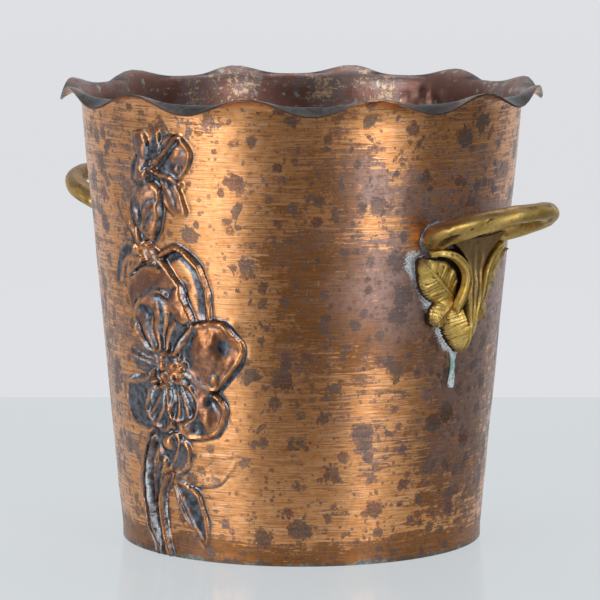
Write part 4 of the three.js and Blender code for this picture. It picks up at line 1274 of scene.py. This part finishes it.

# %% [markdown]
# ## Old copper
# Rubbed places shine orange, and the rest has gone brown, reddish or purple-grey. The numbers stored
# on the wall say where, and also paint highlight where the side lights reflect and dark reflection where
# the wall faces the viewer; clouds of noise and fine rubbed lines break them up.

# %% Copper and its patina
def copper_sources(tree, place):
    """What the layers are mixed by: numbers stored on the mesh, clouds of four sizes, rubbed lines."""
    stored = ("recess", "inside", "tarnish", "greyed", "ridge", "lip", "edge", "powder", "toned")
    by = SimpleNamespace(**{name: attribute(tree, name) for name in stored})
    by.outside = maths(tree, "SUBTRACT", 1.0, by.inside)
    parts = add_node(tree, "ShaderNodeSeparateXYZ", {0: place})
    by.place, by.y, by.height = place, parts.outputs["Y"], parts.outputs["Z"]
    by.patches = noise(tree, place, 15, 6, 0.66, 0.4)
    by.fine = noise(tree, place, 3.2, 5, 0.65)
    by.grit = noise(tree, place, 1.0, 5, 0.7)
    by.tint = noise(tree, place, 22, 4)
    by.streak = placed(tree, LINES, Place=place, Length=26.0, Height=1.3)
    by.hairs = placed(tree, LINES, Place=place, Length=16.0, Height=0.32)
    return by


def tarnish_and_reflection_share(tree, by):
    """How far the copper has gone brown: the stored tarnish with its painted highlight and dark reflection,
    broken up, and more of it towards the foot, partly crust and partly painted contact shade.
    """
    age = added(tree, (by.tarnish, 0.95), (by.patches, 1.35), (by.streak, 1.45), (by.fine, 0.8),
                (by.hairs, 0.5), (1.0, -2.07), (ramp(tree, by.height, 16.0, 3.0), 0.58))
    return ramp(tree, age, 0.39, 0.56)


def bright_copper(tree, by):
    """Rubbed metal in two oranges, with dark and with pale scratches."""
    colour = mixed(tree, ramp(tree, by.fine, 0.3, 0.7), (0.70, 0.30, 0.10), (0.84, 0.42, 0.18))
    colour = mixed(tree, ramp(tree, by.hairs, 0.51, 0.62, 0, 0.7), colour, (0.37, 0.15, 0.07))
    return mixed(tree, ramp(tree, by.hairs, 0.46, 0.36, 0, 0.75), colour, (0.92, 0.58, 0.35))


def patina(tree, by, greyer):
    """Brown that turns purple-grey by greyer, with darker clouds, pale scratches, orange flecks and a
    red tinge in places."""
    colour = mixed(tree, greyer, (0.31, 0.12, 0.032), (0.36, 0.24, 0.215))
    colour = mixed(tree, ramp(tree, by.fine, 0.42, 0.66, 0, 0.55), colour, (0.155, 0.075, 0.03))
    colour = mixed(tree, ramp(tree, by.hairs, 0.52, 0.64, 0, 0.7), colour, (0.46, 0.24, 0.14))
    flecks = added(tree, (by.grit, 0.7), (by.streak, 0.6), (by.fine, 0.4))
    colour = mixed(tree, ramp(tree, flecks, 0.93, 1.02, 0, 0.75), colour, (0.58, 0.30, 0.16))
    redder = times(tree, ramp(tree, by.tint, 0.62, 0.72), ramp(tree, by.fine, 0.42, 0.6, 0, 0.5))
    return mixed(tree, redder, colour, (0.27, 0.065, 0.045))


def tarnish_marks(tree, by):
    """Round spots of three sizes and wiped lines, thinned along scratches; gives mask and colour."""
    marks = [times(tree, placed(tree, SPOTS, Place=by.place, Size=size, Share=share), strength)
             for size, share, strength in ((8.0, 0.6, 0.95), (4.6, 0.46, 0.9), (1.8, 0.36, 0.75))]
    wipes = placed(tree, LINES, Place=by.place, Length=9.0, Height=0.8)
    wiped = times(tree, ramp(tree, wipes, 0.56, 0.64), ramp(tree, by.patches, 0.42, 0.56, 0.1, 0.8))
    scratched = ramp(tree, added(tree, (by.hairs, 0.6), (by.grit, 0.4)), 0.62, 0.44, 0.45, 1.0)
    colour = mixed(tree, ramp(tree, by.tint, 0.42, 0.54), (0.12, 0.095, 0.075), (0.15, 0.08, 0.07))
    greyish = ramp(tree, added(tree, (by.patches, 1.0), (by.greyed, 0.25)), 0.5, 0.62)
    colour = mixed(tree, greyish, colour, (0.15, 0.113, 0.108))
    return times(tree, most(tree, *marks, wiped), scratched), colour


# %% [markdown]
# ## Copper that was chased, cleaned and left wet
# The recesses of the relief are nearly black and glossy with patina, with painted shade round the raised
# forms, its ridges rubbed bright, and white polish has dried on its sides, with painted highlight along
# stems and ribs. The inside is duller, and the foot has gone green, with painted contact shade along it.

# %% Relief, residue, inside, rim and foot
def chased_copper(tree, by, colour, greyer):
    """The sprays: petals brown between their ridges, recesses nearly black with patina and painted shade,
    ridges rubbed bright; gives the colour and how dark the recesses are."""
    petal_brown = mixed(tree, greyer, (0.25, 0.10, 0.05), (0.21, 0.13, 0.11))
    between = times(tree, by.toned, ramp(tree, by.fine, 0.34, 0.60, 0.55, 1.0))
    colour = mixed(tree, between, colour, petal_brown)
    gunmetal = mixed(tree, ramp(tree, by.fine, 0.35, 0.65), (0.045, 0.05, 0.06), (0.18, 0.19, 0.22))
    dark = ramp(tree, added(tree, (by.recess, 1.0), (by.fine, 0.45), (1.0, -0.22)), 0.14, 0.50)
    colour = mixed(tree, dark, colour, gunmetal)
    rubbed = times(tree, by.ridge, ramp(tree, by.grit, 0.3, 0.6, 0.75, 0.25))
    return mixed(tree, rubbed, colour, (0.66, 0.31, 0.14)), dark


def bracket_crust(tree, by):
    """White crust on the copper beside the brackets: it fades over 6.5 mm outside the leaves' slanting
    edge, where |y| is 2.6 mm plus 0.62 times the height above their lowest tip, and 29 mm at most."""
    width = maths(tree, "MULTIPLY_ADD", by.height, 0.62, 2.6 - 0.62 * LEAF_TIP)
    width = maths(tree, "MINIMUM", width, 29.0)
    beyond = maths(tree, "SUBTRACT", maths(tree, "ABSOLUTE", by.y), width)
    tall = times(tree, ramp(tree, by.height, 96, 101), ramp(tree, by.height, 152, 144))
    near = times(tree, ramp(tree, beyond, 6.5, 0.0), tall)
    return ramp(tree, added(tree, (near, 1.0), (by.grit, 2.4), (1.0, -1.2)), 0.34, 0.85)


def whitened(tree, by):
    """How much white lies on the copper: dried polish in the recesses, painted highlight along stems and
    ribs, and crust beside the brackets.
    """
    white_polish_and_highlight = ramp(tree, added(tree, (by.powder, 1.0), (by.grit, 0.5)), 0.42, 0.85)
    return most(tree, white_polish_and_highlight, times(tree, bracket_crust(tree, by), by.outside))


def inside_copper(tree, by, colour):
    """The inside: brown turning grey in clouds, with gold flecks and a few green spots."""
    worn = mixed(tree, ramp(tree, by.tint, 0.44, 0.56), (0.25, 0.13, 0.105), (0.26, 0.19, 0.18))
    gold = added(tree, (by.tint, 0.7), (by.streak, 0.35), (by.fine, 0.7), (by.grit, 0.7),
                 (by.tarnish, -0.5))
    worn = mixed(tree, ramp(tree, gold, 1.14, 1.20), worn, (0.66, 0.46, 0.29))
    green = placed(tree, SPOTS, Place=by.place, Size=2.6, Share=0.18)
    colour = mixed(tree, by.inside, colour, worn)
    return mixed(tree, times(tree, green, by.inside, 0.7), colour, (0.42, 0.50, 0.43))


def rim_and_foot(tree, by, colour):
    """Leaden grey in the rim's troughs, a dark edge, and dark verdigris along the foot, partly crust and
    partly painted contact shade; gives the colour and where the foot is."""
    lead = mixed(tree, ramp(tree, by.fine, 0.4, 0.7), (0.028, 0.027, 0.030), (0.075, 0.072, 0.072))
    lead = mixed(tree, ramp(tree, by.grit, 0.60, 0.68, 0, 0.8), lead, (0.22, 0.24, 0.235))
    colour = mixed(tree, by.lip, colour, lead)
    colour = mixed(tree, times(tree, by.edge, 0.7), colour, (0.10, 0.07, 0.06))
    # The foot: verdigris and crust on the lowest few millimetres, darkened also as painted contact shade
    # where the wall meets the table.
    low = added(tree, (by.height, 1.0), (by.patches, -8.0), (by.fine, -5.0))
    foot = times(tree, ramp(tree, low, -3.9, -5.9), by.outside, 0.8)
    verdigris = mixed(tree, ramp(tree, by.grit, 0.45, 0.6), (0.13, 0.15, 0.14), (0.30, 0.40, 0.37))
    verdigris = mixed(tree, ramp(tree, by.tint, 0.46, 0.54), (0.10, 0.07, 0.055), verdigris)
    return mixed(tree, foot, colour, verdigris), foot


def make_copper():
    """Copper in layers, each laid over the last by its own mask; its shine is drawn out up and down."""
    material, tree, surface, place = new_material("old_copper")
    by = copper_sources(tree, place)
    tarnish_and_reflection_mix = tarnish_and_reflection_share(tree, by)
    greyer = added(tree, (by.greyed, 1.0), (by.tint, 1.0), (by.fine, 0.4), (1.0, -0.7))
    greyer = ramp(tree, greyer, 0.1, 0.7)
    colour = mixed(tree, tarnish_and_reflection_mix, bright_copper(tree, by), patina(tree, by, greyer))
    marks, mark_colour = tarnish_marks(tree, by)
    colour, dark = chased_copper(tree, by, mixed(tree, marks, colour, mark_colour), greyer)
    white = whitened(tree, by)
    # The white laid on here is dried polish and crust, and painted highlight along stems and ribs.
    colour = mixed(tree, white, colour, placed(tree, CRUST, Place=place, Green=0.1))
    colour, foot = rim_and_foot(tree, by, inside_copper(tree, by, colour))
    dull = added(tree, (tarnish_and_reflection_mix, 0.10), (marks, 0.08), (by.fine, 0.16), (white, 0.3), (by.inside, 0.08),
                 (dark, -0.13), (by.toned, 0.07), (1.0, 0.25))
    covered = added(tree, (tarnish_and_reflection_mix, 0.18), (white, 0.8), (foot, 0.6))
    relief = added(tree, (by.hairs, 0.03), (by.fine, 0.06), (by.grit, 0.03), (by.patches, 0.25),
                   (marks, -0.03), (white, 0.06))
    around = add_node(tree, "ShaderNodeTangent", direction_type="RADIAL", axis="Z")
    plug(tree, surface, {
        "Base Color": colour, "Roughness": dull,
        "Metallic": maths(tree, "SUBTRACT", 1.0, covered, clamp=True),
        "Anisotropic": 0.6, "Anisotropic Rotation": 0.25, "Tangent": around.outputs[0],
        "Normal": bumped(tree, 0.5, relief),
    })
    return material


copper_finish = make_copper()
print("nodes in the copper:", len(copper_finish.node_tree.nodes))

# %% [markdown]
# ## Cast brass
# The brass is yellow where fingers and cloths reach it, brown on the ring's flat top and nearly black
# in the cut veins. Painted shade darkens it under the leaves, along their rims and on the stalk's web.

# %% The brass
def make_brass():
    """Brass that darkens into its recesses with grime and painted shade, and wears brown on top."""
    material, tree, surface, place = new_material("cast_brass")
    patches = noise(tree, place, 7, 5, 0.6)
    fine = noise(tree, place, 1.3, 5, 0.65)
    colour = mixed(tree, ramp(tree, patches, 0.38, 0.62), (0.60, 0.395, 0.10), (0.82, 0.585, 0.19))
    # The brown of worn is wear on the ring's top, and partly painted shade on the leaves' rims and the
    # stalk's web.
    top = times(tree, attribute(tree, "worn"), ramp(tree, patches, 0.3, 0.6, 0.8, 1.0))
    colour = mixed(tree, top, colour, (0.30, 0.19, 0.10))
    clouds = added(tree, (patches, 0.6), (fine, 0.5))
    colour = mixed(tree, ramp(tree, clouds, 0.55, 0.68, 0, 0.55), colour, (0.26, 0.165, 0.05))
    # Grime in the recesses, and painted shade on the leaves' undersides and rims and on the stalk's back.
    grime_and_shade = added(tree, (attribute(tree, "recess"), 1.0), (fine, 0.6), (patches, 0.3))
    grime_and_shade = ramp(tree, grime_and_shade, 0.52, 1.0)
    colour = mixed(tree, grime_and_shade, colour, (0.075, 0.045, 0.022))
    pepper = placed(tree, SPOTS, Place=place, Size=2.2, Share=0.25)
    colour = mixed(tree, times(tree, pepper, 0.5), colour, (0.13, 0.085, 0.035))
    plug(tree, surface, {
        "Base Color": colour, "Metallic": 1.0,
        "Roughness": added(tree, (fine, 0.3), (grime_and_shade, 0.2), (1.0, 0.31)),
        "Normal": bumped(tree, 0.5, added(tree, (fine, 0.16), (patches, 0.35))),
    })
    return material


brass_finish = make_brass()
print("nodes in the brass:", len(brass_finish.node_tree.nodes))

# %% [markdown]
# ## Soft solder
# Dull grey metal under a chalky crust that turns green where it runs down.

# %% The solder
def make_solder():
    """Grey solder, crusted more and greener at its lower end, and painted shade where the bracket hides it.
    """
    material, tree, surface, place = new_material("soft_solder")
    height = add_node(tree, "ShaderNodeSeparateXYZ", {0: place}).outputs["Z"]
    patches = noise(tree, place, 4.0, 5, 0.6)
    fine = noise(tree, place, 0.8, 5, 0.7)
    low = ramp(tree, height, 150.0, 100.0)
    drip = times(tree, ramp(tree, height, 101.0, 94.0), ramp(tree, height, 83.0, 88.0))
    metal = mixed(tree, ramp(tree, fine, 0.3, 0.7), (0.19, 0.18, 0.20), (0.36, 0.34, 0.37))
    share = ramp(tree, added(tree, (patches, 1.0), (low, 0.5), (fine, 0.4)), 0.68, 0.98)
    colour = mixed(tree, share, metal, placed(tree, CRUST, Place=place, Green=drip))
    plug(tree, surface, {
        # Painted shade where the bracket hides the solder.
        "Base Color": mixed(tree, attribute(tree, "recess"), colour, (0.045, 0.03, 0.02)),
        "Roughness": added(tree, (share, 0.4), (fine, 0.1), (1.0, 0.4)),
        "Metallic": maths(tree, "SUBTRACT", 0.8, times(tree, share, 0.8)),
        "Normal": bumped(tree, 0.7, added(tree, (fine, 0.25), (patches, 0.2))),
    })
    return material


FINISH_OF = {"copper": copper_finish, "cast_brass": brass_finish, "soft_solder": make_solder()}
for piece, slot_name in made_pieces:
    piece.data.materials.append(FINISH_OF[slot_name])
print("finished pieces:", len(made_pieces))

# %% [markdown]
# ## Floor, surroundings and lights
# Shiny metal shows what stands round it, so most of the look is in the surroundings: pale behind the
# bucket, dark towards the viewer, a tall soft light at each side and one above, and three dull cards,
# two of them dark, on the table outside the picture. All of it is fixed in the room.

# %% Floor and surroundings
FLOOR_LINE = 0.42
FLOOR_HALF = 30.0
FLOOR_DROP = 0.0002
TABLE_COLOUR = (0.68, 0.72, 0.745)
BEYOND_COLOUR = (0.77, 0.785, 0.82)


def towards_viewer(tree, place):
    """How far a place lies towards the viewer over the floor: its dot product with that direction."""
    sockets = {0: place, 1: (np.sin(VIEW_AZIMUTH), -np.cos(VIEW_AZIMUTH), 0)}
    return add_node(tree, "ShaderNodeVectorMath", sockets, operation="DOT_PRODUCT").outputs["Value"]


def make_floor():
    """A pale glossy table, and a pale wall beyond its far edge, told apart by the place on the floor."""
    material, tree, surface, _ = new_material("pale_floor")
    place = add_node(tree, "ShaderNodeTexCoord").outputs["Object"]
    beyond = maths(tree, "LESS_THAN", towards_viewer(tree, place), -FLOOR_LINE)
    colour = mixed(tree, beyond, TABLE_COLOUR, BEYOND_COLOUR)
    plug(tree, surface, {"Base Color": colour, "Roughness": 0.12})
    plain = add_node(tree, "ShaderNodeEmission", {"Color": colour, "Strength": 1.0})
    ray = add_node(tree, "ShaderNodeLightPath").outputs
    seen = most(tree, ray["Is Camera Ray"], ray["Is Glossy Ray"], ray["Is Transmission Ray"])
    shares = {0: times(tree, seen, 0.72), 1: surface.outputs[0], 2: plain.outputs[0]}
    both = add_node(tree, "ShaderNodeMixShader", shares)
    output = next(node for node in tree.nodes if node.type == "OUTPUT_MATERIAL")
    plug(tree, output, {"Surface": both.outputs[0]})
    return material


def make_world():
    """Pale surroundings that darken towards the place of the photographer, by the ray's direction."""
    world = bpy.data.worlds.new("room")
    world.use_nodes = True
    tree = world.node_tree
    tree.nodes.clear()
    front = towards_viewer(tree, add_node(tree, "ShaderNodeTexCoord").outputs["Generated"])
    level = ramp(tree, front, -0.9, 0.3, 0.80, 0.20)
    colour = mixed(tree, level, (0, 0, 0), (0.97, 0.98, 1.0))
    lit = add_node(tree, "ShaderNodeBackground", {"Color": colour, "Strength": 1.0})
    add_node(tree, "ShaderNodeOutputWorld", {"Surface": lit.outputs[0]})
    scene.world = world


def add_mesh(name, points, faces, material):
    """A mesh of the room, with its points in metres."""
    mesh = bpy.data.meshes.new(name)
    mesh.from_pydata(points, [], faces)
    mesh.materials.append(material)
    made = bpy.data.objects.new(name, mesh)
    scene.collection.objects.link(made)
    return made


corners = [(-1, -1), (1, -1), (1, 1), (-1, 1)]
corners = [(x * FLOOR_HALF, y * FLOOR_HALF, -FLOOR_DROP) for x, y in corners]
floor = add_mesh("floor", corners, [(0, 1, 2, 3)], make_floor())
make_world()
print("floor:", 2 * FLOOR_HALF, "m wide, with its far edge", FLOOR_LINE, "m behind the bucket's axis")

# %% [markdown]
# ## Soft lights and dull cards
# The lights give the long bright bands on the wall, and the two dark cards the dark stretches between
# them. The pale card on the left only takes the gloss off the table there.

# %% Lights and cards
CARD_LIFT = 0.0004
CARD_STEPS = 24
CARD_NEAR, CARD_FAR = 0.17, 6.0


def add_softbox(name, turn, rise, distance, size, power):
    """A soft light at an angle round from the viewer's direction, aimed at the bucket's middle. Angles
    are in degrees, distance and size in metres, and power in watts."""
    azimuth = VIEW_AZIMUTH - np.pi / 2 + np.radians(turn)
    rise = np.radians(rise)
    way = np.array([np.cos(azimuth) * np.cos(rise), np.sin(azimuth) * np.cos(rise), np.sin(rise)])
    data = bpy.data.lights.new(name, "AREA")
    data.shape = "RECTANGLE"
    data.size, data.size_y = size
    data.energy = power
    light = bpy.data.objects.new(name, data)
    light.location = way * distance + np.array([0, 0, AIM_HEIGHT])
    light.rotation_euler = (np.pi / 2 - rise, 0, azimuth + np.pi / 2)
    scene.collection.objects.link(light)


def add_card(name, start, end, tone):
    """A dull card lying on the table outside the picture, its tone from 0 for black to 1 for white: a
    sector of a ring round the bucket, by angles from the viewer's direction. Beside and behind the
    bucket its near edge keeps clear of the view: near / (sin a - 0.12 max(-cos a, 0)). Shiny metal
    mirrors it, and nothing else sees it."""
    turn = np.radians(np.linspace(start, end, CARD_STEPS))[:, None]
    sideways = np.abs(np.sin(turn)) - 0.12 * np.maximum(-np.cos(turn), 0)
    first = np.where(np.abs(turn) > 0.8, CARD_NEAR / np.maximum(sideways, 0.3), CARD_NEAR)
    reach = np.concatenate([first, np.full(first.shape, CARD_FAR)], axis=1)
    angle = VIEW_AZIMUTH - np.pi / 2 + turn
    points = [reach * np.cos(angle), reach * np.sin(angle), np.full(reach.shape, CARD_LIFT)]
    points = np.stack(points, axis=-1).reshape(-1, 3)
    material, tree, surface, _ = new_material(name)
    plug(tree, surface, {"Base Color": (tone, tone, tone), "Roughness": 0.8})
    faces = grid_faces(CARD_STEPS, 2)[:, ::-1]
    card = add_mesh(name, points.tolist(), faces.tolist(), material)
    card.visible_camera = card.visible_shadow = card.visible_diffuse = False


add_card("front_card", -26, 22, 0.30)
add_card("right_card", 56, 122, 0.26)
add_card("left_card", -118, -66, 0.8)
add_softbox("left_softbox", -48, 10, 1.5, (0.7, 1.3), 12.4)
add_softbox("right_softbox", 38, 14, 1.5, (0.4, 1.2), 7.8)
add_softbox("top_softbox", 180, 75, 1.6, (1.2, 0.8), 6.6)
scene.view_settings.view_transform = "Standard"
print("lights and cards:", len(bpy.data.lights), "lights, 3 cards")
